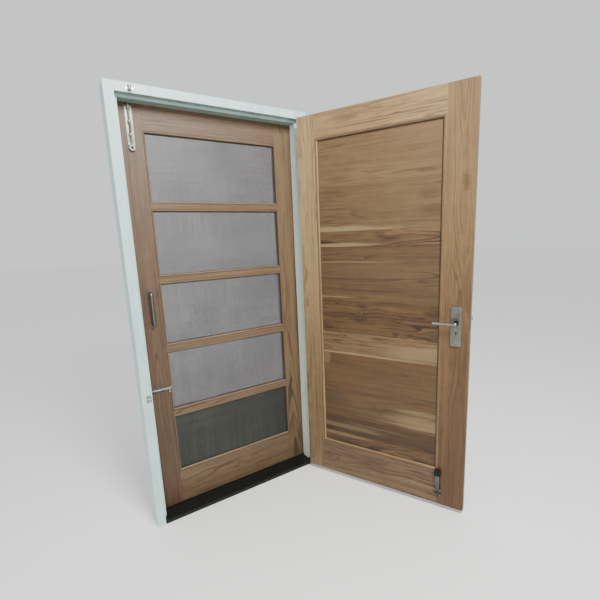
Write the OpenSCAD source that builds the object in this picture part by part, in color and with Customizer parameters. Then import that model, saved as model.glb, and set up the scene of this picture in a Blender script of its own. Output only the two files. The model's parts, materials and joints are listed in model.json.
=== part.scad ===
// Twin door set: an insect-screen door and a panelled door hung in one rebated timber frame.
// X runs across the doorway, Y from the room side (-Y) to the far side (+Y), Z up.
// The origin is the middle of the frame's depth and width, at the underside of the sill.

/* [Frame] */
// Clear width between the stops
clear_w = 896; // [700:1:1100]
// Clear height from the sill's top to the head's stop
clear_h = 2050; // [1800:1:2400]
// Width of a jamb or the head, from the stop's arris to the outer face
frame_face = 52; // [46:1:90]
// Depth of the frame
frame_d = 126; // [120:1:160]
// How far a rebate is set back from the stop's arris
rebate_w = 12; // [10:1:15]
// Depth of the room-side rebate that takes the main door
main_rebate_d = 38; // [37:1:42]
// Depth of the far rebate that takes the screen door
screen_rebate_d = 32; // [31:1:40]
// Thickness of the stone sill
sill_t = 20; // [16:1:40]
// Gap round each leaf at the sides and top
leaf_gap = 3; // [2.6:0.1:4]
// Gap under each leaf
sill_gap = 5; // [3:0.5:12]

/* [Main door] */
// How far the main door stands open
main_open = 116; // [0:1:160]
// Thickness of the main door
main_t = 35; // [34:0.5:37]
// Width of the stile that carries the hinges
main_hinge_stile_w = 106; // [90:1:140]
// Width of the stile that holds the lock
main_lock_stile_w = 130; // [120:1:160]
// Height of the top rail
main_top_rail_h = 122; // [90:1:180]
// Height of the bottom rail
main_bottom_rail_h = 189; // [120:1:260]
// Width of the bead round the panel
main_bead_w = 16; // [10:1:22]
// Thickness of the panel boards
board_t = 18; // [14:1:20]
// Heights of the panel boards from the bottom up, as shares of the panel
board_shares = [65, 103, 384, 127, 184, 105, 102, 85, 82, 237, 237];

/* [Screen door] */
// Thickness of the screen door
screen_t = 30; // [28:0.5:31]
// Width of a screen door stile, without its bead
screen_stile_w = 111; // [80:1:140]
// Height of the screen door's top rail
screen_top_rail_h = 122; // [90:1:160]
// Height of the screen door's bottom rail
screen_bottom_rail_h = 183; // [120:1:240]
// Height of each middle rail, without its beads
screen_mid_rail_h = 30; // [24:1:60]
// Width of the bead round each mesh
screen_bead_w = 10; // [8:1:14]
// Number of mesh lights
light_count = 5; // [3:1:6]
// Thickness of the mesh with its hem
mesh_t = 1; // [0.6:0.1:1.5]

/* [Hinges] */
// Height of a hinge
hinge_h = 100; // [80:1:125]
// Width of a hinge leaf from the door's face
hinge_leaf_w = 28; // [24:1:30]
// Thickness of a hinge leaf
hinge_leaf_t = 2.5; // [2:0.1:3]
// Radius of a hinge knuckle
knuckle_r = 5.5; // [5:0.1:5.6]
// Radius of a hinge pin
pin_r = 3; // [2.5:0.1:3.5]
// Height of the lowest hinge's middle above the leaf's bottom
hinge_low = 230; // [160:1:400]
// Distance of the highest hinge's middle below the leaf's top
hinge_high = 190; // [140:1:300]

/* [Lock] */
// Height of the lever spindle above the sill's top
spindle_h = 996; // [900:1:1100]
// Distance from the door's free edge to the spindle
backset = 62; // [58:1:70]
// Width of a lever plate
plate_w = 50; // [40:1:56]
// Height of a lever plate
plate_h = 194; // [170:1:240]
// Thickness of a lever plate
plate_t = 7; // [4:0.5:9]
// Radius of the opening round the lever's neck
plate_hole_r = 11.5; // [11:0.1:14]
// Radius of the lever's neck
neck_r = 8.5; // [7:0.1:9.5]
// Radius of the lever's grip
grip_r = 6.5; // [5:0.1:8]
// Distance from the door's face to the middle of the grip
grip_out = 41; // [34:0.5:43]
// Length of the grip from the spindle
grip_l = 107; // [80:1:130]
// How far the latch stands out of the door's edge
latch_out = 8; // [6:0.5:11]
// Travel of the dead bolt
dead_travel = 20; // [10:1:22]

/* [Bolts] */
// Radius of a sliding bolt's rod
rod_r = 4; // [3:0.1:4.5]
// Distance from the door's face to the rod's axis
rod_out = 8; // [7.5:0.1:9]
// Thickness of a bolt's plate
bolt_plate_t = 2; // [1:0.1:2.5]
// Distance of the upright bolts from the doorway's left stop
tower_in = 50; // [40:1:60]
// Length of the upright bolts' plate
tower_plate_l = 172; // [160:1:200]
// Height of the side bolts above the sill's top
side_bolt_h = 678; // [500:1:800]
// Length of the side bolts' plate
side_plate_l = 98; // [90:1:120]
// Travel of the upright bolts
bolt_travel = 26; // [20:1:28]
// Travel of the side bolts
side_travel = 22; // [16:1:26]

/* [Pull handle] */
// Distance between the middles of the pull handle's legs
pull_l = 160; // [120:1:220]
// Height of the pull handle's middle above the sill's top
pull_h = 1102; // [1098:1:1160]
// Radius of the pull handle's bar
pull_r = 8; // [5:0.1:9]
// Distance from the door's face to the middle of the pull handle's bar
pull_out = 30; // [26:1:36]

/* [Door holder] */
// Distance of the holder from the door's free edge
holder_in = 127; // [110:1:200]
// Height of the holder's pivot above the sill's top
holder_h = 97; // [94:1:106]
// Reach of the holder's arm from its pivot to the end of its shoe
holder_reach = 111; // [100:1:113]

/* [Hidden] */
$fn = 48;
eps = 0.01;

// Frame
stop_x = clear_w / 2;
rebate_x = stop_x + rebate_w;
outer_x = stop_x + frame_face;
room_y = -frame_d / 2;
far_y = frame_d / 2;
main_stop_y = room_y + main_rebate_d;
screen_stop_y = far_y - screen_rebate_d;
stop_z = sill_t + clear_h;
rebate_z = stop_z + rebate_w;
frame_top = stop_z + frame_face;
frame_tenon_w = 24;
frame_tenon_t = 16;
frame_tenon_h = 36;
fixing_r = 5;
fixing_depth = 34;
fixing_low = 250;
fixing_pitch = 500;
fixing_count = 4;

// Leaves, as they lie shut
leaf_w = clear_w + 2 * (rebate_w - leaf_gap);
leaf_x = leaf_w / 2;
leaf_bottom = sill_t + sill_gap;
leaf_top = rebate_z - leaf_gap;
leaf_h = leaf_top - leaf_bottom;
face_inset = 1;
main_room_y = room_y + face_inset;
main_back_y = main_room_y + main_t;
main_mid_y = main_room_y + main_t / 2;
screen_far_y = far_y - face_inset;
screen_near_y = screen_far_y - screen_t;

// Main door
groove_depth = 12;
board_in_groove = 10;
recess = (main_t - board_t) / 2;
bead_h = recess - 0.5;
panel_x0 = -leaf_x + main_lock_stile_w;
panel_x1 = leaf_x - main_hinge_stile_w;
panel_z0 = leaf_bottom + main_bottom_rail_h;
panel_z1 = leaf_top - main_top_rail_h;
field_z0 = panel_z0 + main_bead_w;
field_h = panel_z1 - main_bead_w - field_z0;
board_count = len(board_shares);
function sum_to(list, n) = n <= 0 ? 0 : list[n - 1] + sum_to(list, n - 1);
share_total = sum_to(board_shares, board_count);
// Height of the joint above board n, to a hundredth of a millimetre
function joint_z(n) = round(100 * (field_z0 + field_h * sum_to(board_shares, n) / share_total)) / 100;
tongue_h = 7;
tongue_t = 6;
main_tenon_t = 12;
main_tenon_l = 60;
tenon_shoulder = 22;

// Screen door
bead_drop = 1;
mesh_y0 = screen_near_y + 12;
mesh_y1 = mesh_y0 + mesh_t;
mesh_tuck = 8;
screen_front_x = leaf_x - screen_stile_w;
light_x = screen_front_x - screen_bead_w;
screen_mid_count = light_count - 1;
light_h = (leaf_h - screen_top_rail_h - screen_bottom_rail_h
    - screen_mid_count * screen_mid_rail_h) / light_count - 2 * screen_bead_w;
light_pitch = light_h + 2 * screen_bead_w + screen_mid_rail_h;
function light_z(n) = leaf_bottom + screen_bottom_rail_h + screen_bead_w + n * light_pitch;
screen_tenon_t = 10;
screen_tenon_l = 40;
screen_tenon_y = (mesh_y1 + screen_far_y) / 2;

// Hinges
axis_x = leaf_x + leaf_gap / 2;
knuckle_room = 0.7;
axis_out = knuckle_r + knuckle_room;
knuckle_count = 5;
knuckle_gap = 0.4;
knuckle_h = hinge_h / knuckle_count;
pin_clear = 0.05;
pin_head_r = 4.6;
pin_head_h = 3;
hinge_mid = (hinge_low + leaf_h - hinge_high) / 2;
hinge_heights = [
    leaf_bottom + hinge_low,
    leaf_bottom + hinge_mid,
    leaf_top - hinge_high
];
screw_r = 2;
screw_head_r = 4;
screw_head_h = 2;
screw_l = 24;
hinge_screw_at = [0.14, 0.38, 0.62, 0.86];

// Lock
spindle_x = -leaf_x + backset;
spindle_z = sill_t + spindle_h;
spindle_a = 8;
hub_clear = 0.06;
hub_r = spindle_a / sqrt(2) + hub_clear;
latch_z = spindle_z + 22;
dead_z = spindle_z - 48;
key_r = 4;
key_slot_w = 3;
key_slot_h = 9;
forend_t = 3;
forend_w = 22;
forend_h = 236;
lock_mid_z = spindle_z - 17;
case_t = 15;
case_h = 160;
case_d = 88;
case_wall = 1.5;
tongue_w = 11;
latch_h = 18;
latch_l = 46;
dead_h = 26;
dead_l = 44;
bolt_clear = 0.25;
strike_t = 2;
strike_w = 24;
strike_h = 172;
strike_pocket = 26;
plate_corner = 6;

// Bolts
rod_clear = 0.06;
guide_w = 18;
guide_l = 14;
tower_plate_w = 30;
side_plate_w = 18;
tower_x = -stop_x + tower_in;
screen_tower_tip = stop_z - 4;
main_tower_tip = leaf_top + 5;
tower_plate_below_tip = 6;
tower_rod_l = 180;
ring_r = 13;
ring_hole_r = 6;
ring_t = 6;
peg_r = 3.5;
peg_l = 15;
side_z = sill_t + side_bolt_h;
screen_side_tip = -stop_x + 6;
main_side_tip = -leaf_x + 3;
side_rod_l = 99;
drop_l = 20;
bolt_hole_r = rod_r + 0.6;
keep_wall = 3;
keep_h = 20;
keep_w = 34;
keep_gap = 7;
keep_side_gap = 11;
bolt_hole_depth = bolt_travel + 2;

// Holder
holder_x = -leaf_x + holder_in;
holder_z = sill_t + holder_h;
holder_base_w = 34;
holder_base_t = 3;
holder_base_h = 50;
holder_pivot_out = 12;
holder_pin_r = 2.5;
arm_w = 20;
arm_t = 9;
arm_wall = 2;
ear_t = 3;
ear_gap = 0.3;
shoe_w = 32;
shoe_h = 32;
shoe_t = 20;

timber = [0.62, 0.48, 0.35];
board_colour = [0.52, 0.40, 0.29];
screen_timber = [0.53, 0.42, 0.34];
paint = [0.76, 0.80, 0.78];
granite = [0.13, 0.13, 0.13];
satin = [0.55, 0.57, 0.56];
bright = [0.78, 0.79, 0.78];
black_rubber = [0.08, 0.08, 0.08];
mesh_grey = [0.55, 0.56, 0.56];

// Helpers

module box(x0, x1, y0, y1, z0, z1) {
    translate([x0, y0, z0])
        cube([x1 - x0, y1 - y0, z1 - z0]);
}

// Lays an outline of Y and Z out along X, from x0 to x1
module along_x(x0, x1) {
    translate([x0, 0, 0])
        rotate([90, 0, 90])
            linear_extrude(height = x1 - x0)
                children();
}

// Turns the main door from shut to where it stands
module hung_main() {
    translate([axis_x, room_y - axis_out, 0])
        rotate([0, 0, main_open])
            translate([-axis_x, axis_out - room_y, 0])
                children();
}

// A cylinder along X, from x0 to x1
module rod_x(r, x0, x1, y, z) {
    translate([x0, y, z])
        rotate([0, 90, 0])
            cylinder(r = r, h = x1 - x0);
}

// A cylinder along Y, from y0 to y1
module rod_y(r, x, y0, y1, z) {
    translate([x, y0, z])
        rotate([-90, 0, 0])
            cylinder(r = r, h = y1 - y0);
}

// A countersunk screw that stands head up at the origin and goes down into the work
module screw(length = screw_l) {
    translate([0, 0, -screw_head_h])
        cylinder(r1 = screw_r, r2 = screw_head_r, h = screw_head_h);
    translate([0, 0, -length])
        cylinder(r = screw_r, h = length - screw_head_h);
}

// The seat that a countersunk head leaves in a plate
module screw_seat() {
    translate([0, 0, -screw_head_h])
        cylinder(r1 = screw_r, r2 = screw_head_r, h = screw_head_h);
    translate([0, 0, -2 * screw_head_h - plate_t])
        cylinder(r = screw_r, h = screw_head_h + plate_t + eps);
}

// A bead's outline: u runs across it from the timber, v up from the panel
function bead_outline(w, h) = concat(
    [[0, 0], [w, 0]],
    [for (a = [0 : 15 : 90]) [w * (0.35 + 0.65 * cos(a)), h * (0.3 + 0.7 * sin(a))]],
    [[0, h]]
);

// A bead strip along X from x0 to x1, mitred at both ends, its back on Y = 0 and its front towards -Y
module mitred_bead(x0, x1, w, h) {
    intersection() {
        translate([x0, 0, 0])
            rotate([90, 0, 90])
                linear_extrude(height = x1 - x0)
                    polygon([for (p = bead_outline(w, h)) [-p[1], p[0]]]);
        rotate([90, 0, 0])
            linear_extrude(height = h)
                polygon([[x0, 0], [x1, 0], [x1 - w, w], [x0 + w, w]]);
    }
}

// Four mitred strips round an opening, their backs on Y = 0
module bead_frame(x0, x1, z0, z1, w, h) {
    mid_x = (x0 + x1) / 2;
    mid_z = (z0 + z1) / 2;
    half_w = (x1 - x0) / 2;
    half_h = (z1 - z0) / 2;
    translate([mid_x, 0, mid_z])
        for (turn = [0, 180])
            rotate([0, turn, 0])
                translate([0, 0, -half_h])
                    mitred_bead(-half_w, half_w, w, h);
    translate([mid_x, 0, mid_z])
        for (turn = [90, 270])
            rotate([0, turn, 0])
                translate([0, 0, -half_w])
                    mitred_bead(-half_h, half_h, w, h);
}

// Frame

module jamb_outline() {
    polygon([
        [stop_x, main_stop_y], [rebate_x, main_stop_y], [rebate_x, room_y], [outer_x, room_y],
        [outer_x, far_y], [rebate_x, far_y], [rebate_x, screen_stop_y], [stop_x, screen_stop_y]
    ]);
}

module jamb_tenon() {
    mid = (stop_x + outer_x) / 2;
    box(mid - frame_tenon_w / 2, mid + frame_tenon_w / 2, -frame_tenon_t / 2, frame_tenon_t / 2,
        stop_z, stop_z + frame_tenon_h);
}

module fixing_holes() {
    for (n = [0 : fixing_count - 1])
        rod_x(fixing_r, outer_x - fixing_depth, outer_x + 1, 0, fixing_low + n * fixing_pitch);
}

// The right jamb without its hinge seats: the left one is its mirror image
module jamb() {
    difference() {
        linear_extrude(height = rebate_z)
            jamb_outline();
        box(0, rebate_x, room_y - 1, far_y + 1, -1, sill_t);
        box(0, outer_x + 1, main_stop_y, screen_stop_y, stop_z, rebate_z + 1);
        fixing_holes();
    }
    jamb_tenon();
}

module hinge_seat(y_face, into) {
    y1 = y_face + into * hinge_leaf_w;
    for (z = hinge_heights)
        box(rebate_x - 1, rebate_x + hinge_leaf_t, min(y_face, y1) - (into > 0 ? 1 : 0),
            max(y_face, y1) + (into > 0 ? 0 : 1), z - hinge_h / 2, z + hinge_h / 2);
}

module frame_jamb_right() {
    color(paint)
        difference() {
            jamb();
            hinge_seat(room_y, 1);
            hinge_seat(far_y, -1);
        }
}

module frame_jamb_left() {
    strike_x = -rebate_x - strike_t;
    color(paint)
        difference() {
            mirror([1, 0, 0])
                jamb();
            box(strike_x, -rebate_x + 1, main_mid_y - strike_w / 2, main_mid_y + strike_w / 2,
                lock_mid_z - strike_h / 2, lock_mid_z + strike_h / 2);
            strike_opening(latch_z, latch_h, strike_x - strike_pocket, strike_x + 1);
            strike_opening(dead_z, dead_h, strike_x - strike_pocket, strike_x + 1);
            rod_x(bolt_hole_r, -stop_x - bolt_hole_depth, -stop_x + 1,
                screen_near_y - rod_out, side_z);
        }
}

// An opening that one of the lock's bolts enters
module strike_opening(z, h, x0, x1) {
    play = 1.5;
    box(x0, x1, main_mid_y - tongue_w / 2 - play, main_mid_y + tongue_w / 2 + play,
        z - h / 2 - play, z + h / 2 + play);
}

module frame_head() {
    color(paint)
        difference() {
            along_x(-outer_x, outer_x)
                polygon([
                    [room_y, rebate_z], [main_stop_y, rebate_z], [main_stop_y, stop_z],
                    [screen_stop_y, stop_z], [screen_stop_y, rebate_z], [far_y, rebate_z],
                    [far_y, frame_top], [room_y, frame_top]
                ]);
            jamb_tenon();
            mirror([1, 0, 0])
                jamb_tenon();
            translate([tower_x, screen_near_y - rod_out, stop_z - 1])
                cylinder(r = bolt_hole_r, h = bolt_hole_depth + 1);
        }
}

module threshold() {
    color(granite)
        box(-rebate_x, rebate_x, room_y, far_y, 0, sill_t);
}

module strike_plate() {
    x0 = -rebate_x - strike_t;
    color(satin)
        difference() {
            box(x0, -rebate_x, main_mid_y - strike_w / 2, main_mid_y + strike_w / 2,
                lock_mid_z - strike_h / 2, lock_mid_z + strike_h / 2);
            strike_opening(latch_z, latch_h, x0 - 1, -rebate_x + 1);
            strike_opening(dead_z, dead_h, x0 - 1, -rebate_x + 1);
            strike_screws()
                screw_seat();
        }
}

module strike_screws() {
    for (side = [-1, 1])
        translate([-rebate_x, main_mid_y, lock_mid_z + side * (strike_h / 2 - 10)])
            rotate([0, 90, 0])
                children();
}

// A keep for a bolt's rod, on the frame's room face: its rod runs along Z, its middle is the origin
module keep() {
    rod_y_out = rod_out - face_inset;
    reach = rod_y_out + bolt_hole_r + keep_wall;
    difference() {
        union() {
            translate([-keep_w / 2, -bolt_plate_t, -keep_h / 2])
                cube([keep_w, bolt_plate_t, keep_h]);
            translate([-bolt_hole_r - keep_wall, -reach + bolt_hole_r + keep_wall, -keep_h / 2])
                cube([2 * (bolt_hole_r + keep_wall), reach - bolt_hole_r - keep_wall, keep_h]);
            translate([0, -rod_y_out, -keep_h / 2])
                cylinder(r = bolt_hole_r + keep_wall, h = keep_h);
        }
        translate([0, -rod_y_out, -keep_h])
            cylinder(r = bolt_hole_r, h = 2 * keep_h);
        box(-keep_w, keep_w, 0, keep_w, -keep_h, keep_h);
        keep_screws()
            screw_seat();
    }
}

module keep_screws() {
    for (side = [-1, 1])
        translate([side * (keep_w / 2 - screw_head_r - 0.8), -bolt_plate_t, 0])
            rotate([90, 0, 0])
                children();
}

// Places a keep above the upright bolt and one beside the side bolt
module at_keeps() {
    translate([tower_x, room_y, rebate_z + keep_gap + keep_h / 2])
        children();
    translate([-stop_x - keep_side_gap - keep_h / 2, room_y, side_z])
        rotate([0, 90, 0])
            children();
}

module bolt_keeps() {
    color(satin)
        at_keeps()
            keep();
}

module frame_screws() {
    color(bright) {
        at_hinges(room_y, 1)
            frame_hinge_screws()
                screw();
        at_hinges(far_y, -1)
            frame_hinge_screws()
                screw();
        strike_screws()
            screw();
        at_keeps()
            keep_screws()
                screw(16);
    }
}

// Hinges, drawn shut, each about its own axis with the leaves reaching into +Y

// Repeats its children at each hinge; face is the frame's face and into the way the leaves reach
module at_hinges(face, into) {
    for (z = hinge_heights)
        translate([axis_x, face - into * axis_out, z - hinge_h / 2])
            mirror([0, into > 0 ? 0 : 1, 0])
                children();
}

module knuckle(n) {
    translate([0, 0, n * knuckle_h + knuckle_gap / 2])
        cylinder(r = knuckle_r, h = knuckle_h - knuckle_gap);
}

// One leaf: side is 1 for the jamb's and -1 for the door's, and first is its lowest knuckle
module hinge_leaf(side, first) {
    x0 = leaf_gap / 2;
    x1 = x0 + hinge_leaf_t;
    difference() {
        union() {
            mirror([side > 0 ? 0 : 1, 0, 0]) {
                box(x0, x1, axis_out, axis_out + hinge_leaf_w, 0, hinge_h);
                for (n = [first : 2 : knuckle_count - 1])
                    box(x0, x1, 0, axis_out + eps, n * knuckle_h + knuckle_gap / 2,
                        (n + 1) * knuckle_h - knuckle_gap / 2);
            }
            for (n = [first : 2 : knuckle_count - 1])
                knuckle(n);
        }
        translate([0, 0, -1])
            cylinder(r = pin_r + pin_clear, h = hinge_h + 2);
        if (side > 0)
            frame_hinge_screws()
                screw_seat();
        else
            door_hinge_screws()
                screw_seat();
    }
}

module hinge_screw_row() {
    for (share = hinge_screw_at)
        translate([0, axis_out + hinge_leaf_w * 0.55, hinge_h * share])
            children();
}

module frame_hinge_screws() {
    hinge_screw_row()
        translate([leaf_gap / 2, 0, 0])
            rotate([0, -90, 0])
                children();
}

module door_hinge_screws() {
    hinge_screw_row()
        translate([-leaf_gap / 2, 0, 0])
            rotate([0, 90, 0])
                children();
}

module hinge_pin() {
    cylinder(r = pin_r, h = hinge_h);
    translate([0, 0, hinge_h])
        cylinder(r = pin_head_r, h = pin_head_h);
    translate([0, 0, -pin_head_h])
        cylinder(r = pin_head_r, h = pin_head_h);
}

module main_hinge_frame_leaves() {
    color(bright)
        at_hinges(room_y, 1)
            hinge_leaf(1, 0);
}

module main_hinge_pins() {
    color(bright)
        at_hinges(room_y, 1)
            hinge_pin();
}

module main_hinge_door_leaves() {
    color(bright)
        hung_main()
            at_hinges(room_y, 1)
                hinge_leaf(-1, 1);
}

module screen_hinge_frame_leaves() {
    color(bright)
        at_hinges(far_y, -1)
            hinge_leaf(1, 0);
}

module screen_hinge_pins() {
    color(bright)
        at_hinges(far_y, -1)
            hinge_pin();
}

module screen_hinge_door_leaves() {
    color(bright)
        at_hinges(far_y, -1)
            hinge_leaf(-1, 1);
}

// Seats for the door's own hinge leaves, cut from the hinge stile
module door_hinge_seats(face, into) {
    at_hinges(face, into)
        box(-leaf_gap / 2 - hinge_leaf_t, 1, 0, axis_out + hinge_leaf_w, 0, hinge_h);
}

// Main door

module main_stile(x0, x1, groove_x0, groove_x1, inner_x, into) {
    tenon_x0 = min(inner_x, inner_x + into * main_tenon_l);
    tenon_x1 = max(inner_x, inner_x + into * main_tenon_l);
    difference() {
        box(x0, x1, main_room_y, main_back_y, leaf_bottom, leaf_top);
        box(groove_x0, groove_x1, main_mid_y - board_t / 2, main_mid_y + board_t / 2,
            panel_z0 - groove_depth, panel_z1 + groove_depth);
        main_tenon(tenon_x0, tenon_x1, leaf_bottom + tenon_shoulder, panel_z0 - tenon_shoulder);
        main_tenon(tenon_x0, tenon_x1, panel_z1 + tenon_shoulder, leaf_top - tenon_shoulder);
    }
}

module main_tenon(x0, x1, z0, z1) {
    box(x0, x1, main_mid_y - main_tenon_t / 2, main_mid_y + main_tenon_t / 2, z0, z1);
}

module main_stile_hinge() {
    color(timber)
        hung_main()
            difference() {
                main_stile(panel_x1, leaf_x, panel_x1 - 1, panel_x1 + groove_depth, panel_x1, 1);
                door_hinge_seats(room_y, 1);
            }
}

module main_stile_lock() {
    color(timber)
        hung_main()
            difference() {
                main_stile(-leaf_x, panel_x0, panel_x0 - groove_depth, panel_x0 + 1, panel_x0, -1);
                lock_mortise();
                rod_y(hub_r + 4, spindle_x, main_room_y - 1, main_back_y + 1, spindle_z);
                rod_y(key_r + 2, spindle_x, main_room_y - 1, main_back_y + 1, dead_z);
            }
}

module main_rail(z0, z1, groove_z0, groove_z1) {
    difference() {
        union() {
            box(panel_x0, panel_x1, main_room_y, main_back_y, z0, z1);
            main_tenon(panel_x0 - main_tenon_l, panel_x1 + main_tenon_l,
                z0 + tenon_shoulder, z1 - tenon_shoulder);
        }
        box(panel_x0 - 1, panel_x1 + 1, main_mid_y - board_t / 2, main_mid_y + board_t / 2,
            groove_z0, groove_z1);
    }
}

module main_rail_top() {
    color(timber)
        hung_main()
            main_rail(panel_z1, leaf_top, panel_z1 - 1, panel_z1 + groove_depth);
}

module main_rail_bottom() {
    color(timber)
        hung_main()
            main_rail(leaf_bottom, panel_z0, panel_z0 - groove_depth, panel_z0 + 1);
}

// A panel board, counted from the bottom: a groove in its lower edge takes the tongue below it
module main_board(n) {
    first = n == 1;
    last = n == board_count;
    z0 = first ? panel_z0 - board_in_groove : joint_z(n - 1);
    z1 = last ? panel_z1 + board_in_groove : joint_z(n);
    color(board_colour)
        hung_main()
            difference() {
                union() {
                    box(panel_x0 - board_in_groove, panel_x1 + board_in_groove,
                        main_mid_y - board_t / 2, main_mid_y + board_t / 2, z0, z1);
                    if (!last)
                        board_tongue(z1 - eps);
                }
                if (!first)
                    board_tongue(z0);
            }
}

module board_tongue(z) {
    box(panel_x0 - board_in_groove, panel_x1 + board_in_groove,
        main_mid_y - tongue_t / 2, main_mid_y + tongue_t / 2, z, z + tongue_h);
}

module main_board_1() { main_board(1); }
module main_board_2() { main_board(2); }
module main_board_3() { main_board(3); }
module main_board_4() { main_board(4); }
module main_board_5() { main_board(5); }
module main_board_6() { main_board(6); }
module main_board_7() { main_board(7); }
module main_board_8() { main_board(8); }
module main_board_9() { main_board(9); }
module main_board_10() { main_board(10); }
module main_board_11() { main_board(11); }

module main_beads() {
    color(timber)
        hung_main()
            translate([0, main_mid_y, 0])
                for (turn = [0, 1])
                    mirror([0, turn, 0])
                        translate([0, -board_t / 2, 0])
                            bead_frame(panel_x0, panel_x1, panel_z0, panel_z1, main_bead_w, bead_h);
}

module main_screws() {
    color(bright)
        hung_main() {
            at_hinges(room_y, 1)
                door_hinge_screws()
                    screw();
            forend_screws()
                screw();
            lock_plate_screws(main_back_y + plate_t, 1)
                screw();
            lock_plate_screws(main_room_y - plate_t, -1)
                screw();
            at_main_tower()
                tower_screws()
                    screw(16);
            at_main_side()
                side_screws()
                    screw(16);
            holder_screws()
                screw(18);
        }
}

// Lock

module lock_mortise() {
    box(-leaf_x - 1, -leaf_x + forend_t, main_mid_y - forend_w / 2, main_mid_y + forend_w / 2,
        lock_mid_z - forend_h / 2, lock_mid_z + forend_h / 2);
    box(-leaf_x + forend_t - eps, -leaf_x + forend_t + case_d, main_mid_y - case_t / 2,
        main_mid_y + case_t / 2, lock_mid_z - case_h / 2, lock_mid_z + case_h / 2);
}

module forend_screws() {
    for (side = [-1, 1])
        translate([-leaf_x, main_mid_y, lock_mid_z + side * (forend_h / 2 - 12)])
            rotate([0, -90, 0])
                children();
}

module lock_case() {
    x0 = -leaf_x + forend_t;
    color(satin)
        hung_main()
            difference() {
                union() {
                    box(-leaf_x, x0, main_mid_y - forend_w / 2, main_mid_y + forend_w / 2,
                        lock_mid_z - forend_h / 2, lock_mid_z + forend_h / 2);
                    box(x0 - eps, x0 + case_d, main_mid_y - case_t / 2, main_mid_y + case_t / 2,
                        lock_mid_z - case_h / 2, lock_mid_z + case_h / 2);
                }
                box(x0, x0 + case_d - case_wall, main_mid_y - case_t / 2 + case_wall,
                    main_mid_y + case_t / 2 - case_wall, lock_mid_z - case_h / 2 + case_wall,
                    lock_mid_z + case_h / 2 - case_wall);
                bolt_slot(latch_z, latch_h);
                bolt_slot(dead_z, dead_h);
                rod_y(hub_r, spindle_x, main_room_y, main_back_y, spindle_z);
                rod_y(key_r, spindle_x, main_room_y, main_back_y, dead_z);
                forend_screws()
                    screw_seat();
            }
}

// The slot in the forend that guides a bolt
module bolt_slot(z, h) {
    box(-leaf_x - 1, -leaf_x + forend_t + 1, main_mid_y - tongue_w / 2 - bolt_clear,
        main_mid_y + tongue_w / 2 + bolt_clear, z - h / 2 - bolt_clear, z + h / 2 + bolt_clear);
}

// The latch has a slope on the side that meets the frame first as the door shuts
module latch_bolt() {
    tip = -leaf_x - latch_out;
    slope = latch_out + 1;
    color(bright)
        hung_main()
            translate([0, 0, latch_z - latch_h / 2])
                linear_extrude(height = latch_h)
                    polygon([
                        [tip, main_mid_y - tongue_w / 2],
                        [tip + latch_l, main_mid_y - tongue_w / 2],
                        [tip + latch_l, main_mid_y + tongue_w / 2],
                        [tip + slope, main_mid_y + tongue_w / 2],
                        [tip, main_mid_y - tongue_w / 2 + 2]
                    ]);
}

module dead_bolt() {
    color(bright)
        hung_main()
            box(-leaf_x, -leaf_x + dead_l, main_mid_y - tongue_w / 2, main_mid_y + tongue_w / 2,
                dead_z - dead_h / 2, dead_z + dead_h / 2);
}

// A lever plate standing on Y = 0 with its front towards -Y, about the spindle
module lock_plate() {
    top = lock_mid_z - spindle_z + plate_h / 2;
    bottom = top - plate_h;
    half = plate_w / 2;
    difference() {
        rotate([90, 0, 0])
            linear_extrude(height = plate_t)
                union() {
                    translate([-half + plate_corner, bottom])
                        square([plate_w - 2 * plate_corner, plate_h]);
                    translate([-half, bottom + plate_corner])
                        square([plate_w, plate_h - 2 * plate_corner]);
                    for (x = [-half + plate_corner, half - plate_corner])
                        for (z = [bottom + plate_corner, top - plate_corner])
                            translate([x, z])
                                circle(r = plate_corner);
                }
        rod_y(plate_hole_r, 0, -plate_t - 1, 1, 0);
        rod_y(key_r, 0, -plate_t - 1, 1, dead_z - spindle_z);
        box(-key_slot_w / 2, key_slot_w / 2, -plate_t - 1, 1,
            dead_z - spindle_z - key_slot_h, dead_z - spindle_z);
        for (z = [bottom + 11, top - 11])
            translate([0, -plate_t, z])
                rotate([90, 0, 0])
                    screw_seat();
    }
}

module lock_plate_screws(y, side) {
    top = lock_mid_z + plate_h / 2;
    for (z = [top - plate_h + 11, top - 11])
        translate([spindle_x, y, z])
            rotate([-90 * side, 0, 0])
                children();
}

module lock_plate_outer() {
    color(satin)
        hung_main()
            translate([spindle_x, main_back_y, spindle_z])
                mirror([0, 1, 0])
                    lock_plate();
}

module lock_plate_inner() {
    color(satin)
        hung_main()
            translate([spindle_x, main_room_y, spindle_z])
                lock_plate();
}

// A lever about its spindle, its back on Y = 0 and its grip towards +X and -Y
module lever() {
    difference() {
        union() {
            rod_y(neck_r, 0, -grip_out, -0.5, 0);
            rod_x(grip_r, 0, grip_l - grip_r, -grip_out, 0);
            translate([0, -grip_out, 0])
                sphere(r = neck_r);
            translate([grip_l - grip_r, -grip_out, 0])
                sphere(r = grip_r);
        }
        box(-spindle_a / 2, spindle_a / 2, -grip_out + neck_r, 1, -spindle_a / 2, spindle_a / 2);
    }
}

module lever_outer() {
    color(bright)
        hung_main()
            translate([spindle_x, main_back_y, spindle_z])
                mirror([0, 1, 0])
                    lever();
}

module lever_inner() {
    color(bright)
        hung_main()
            translate([spindle_x, main_room_y, spindle_z])
                lever();
}

module lever_spindle() {
    reach = grip_out - neck_r;
    color(satin)
        hung_main()
            box(spindle_x - spindle_a / 2, spindle_x + spindle_a / 2,
                main_room_y - reach, main_back_y + reach,
                spindle_z - spindle_a / 2, spindle_z + spindle_a / 2);
}

// Sliding bolts: the door's face is Y = 0, the front is -Y, and the rod's tip is the origin's height

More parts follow.
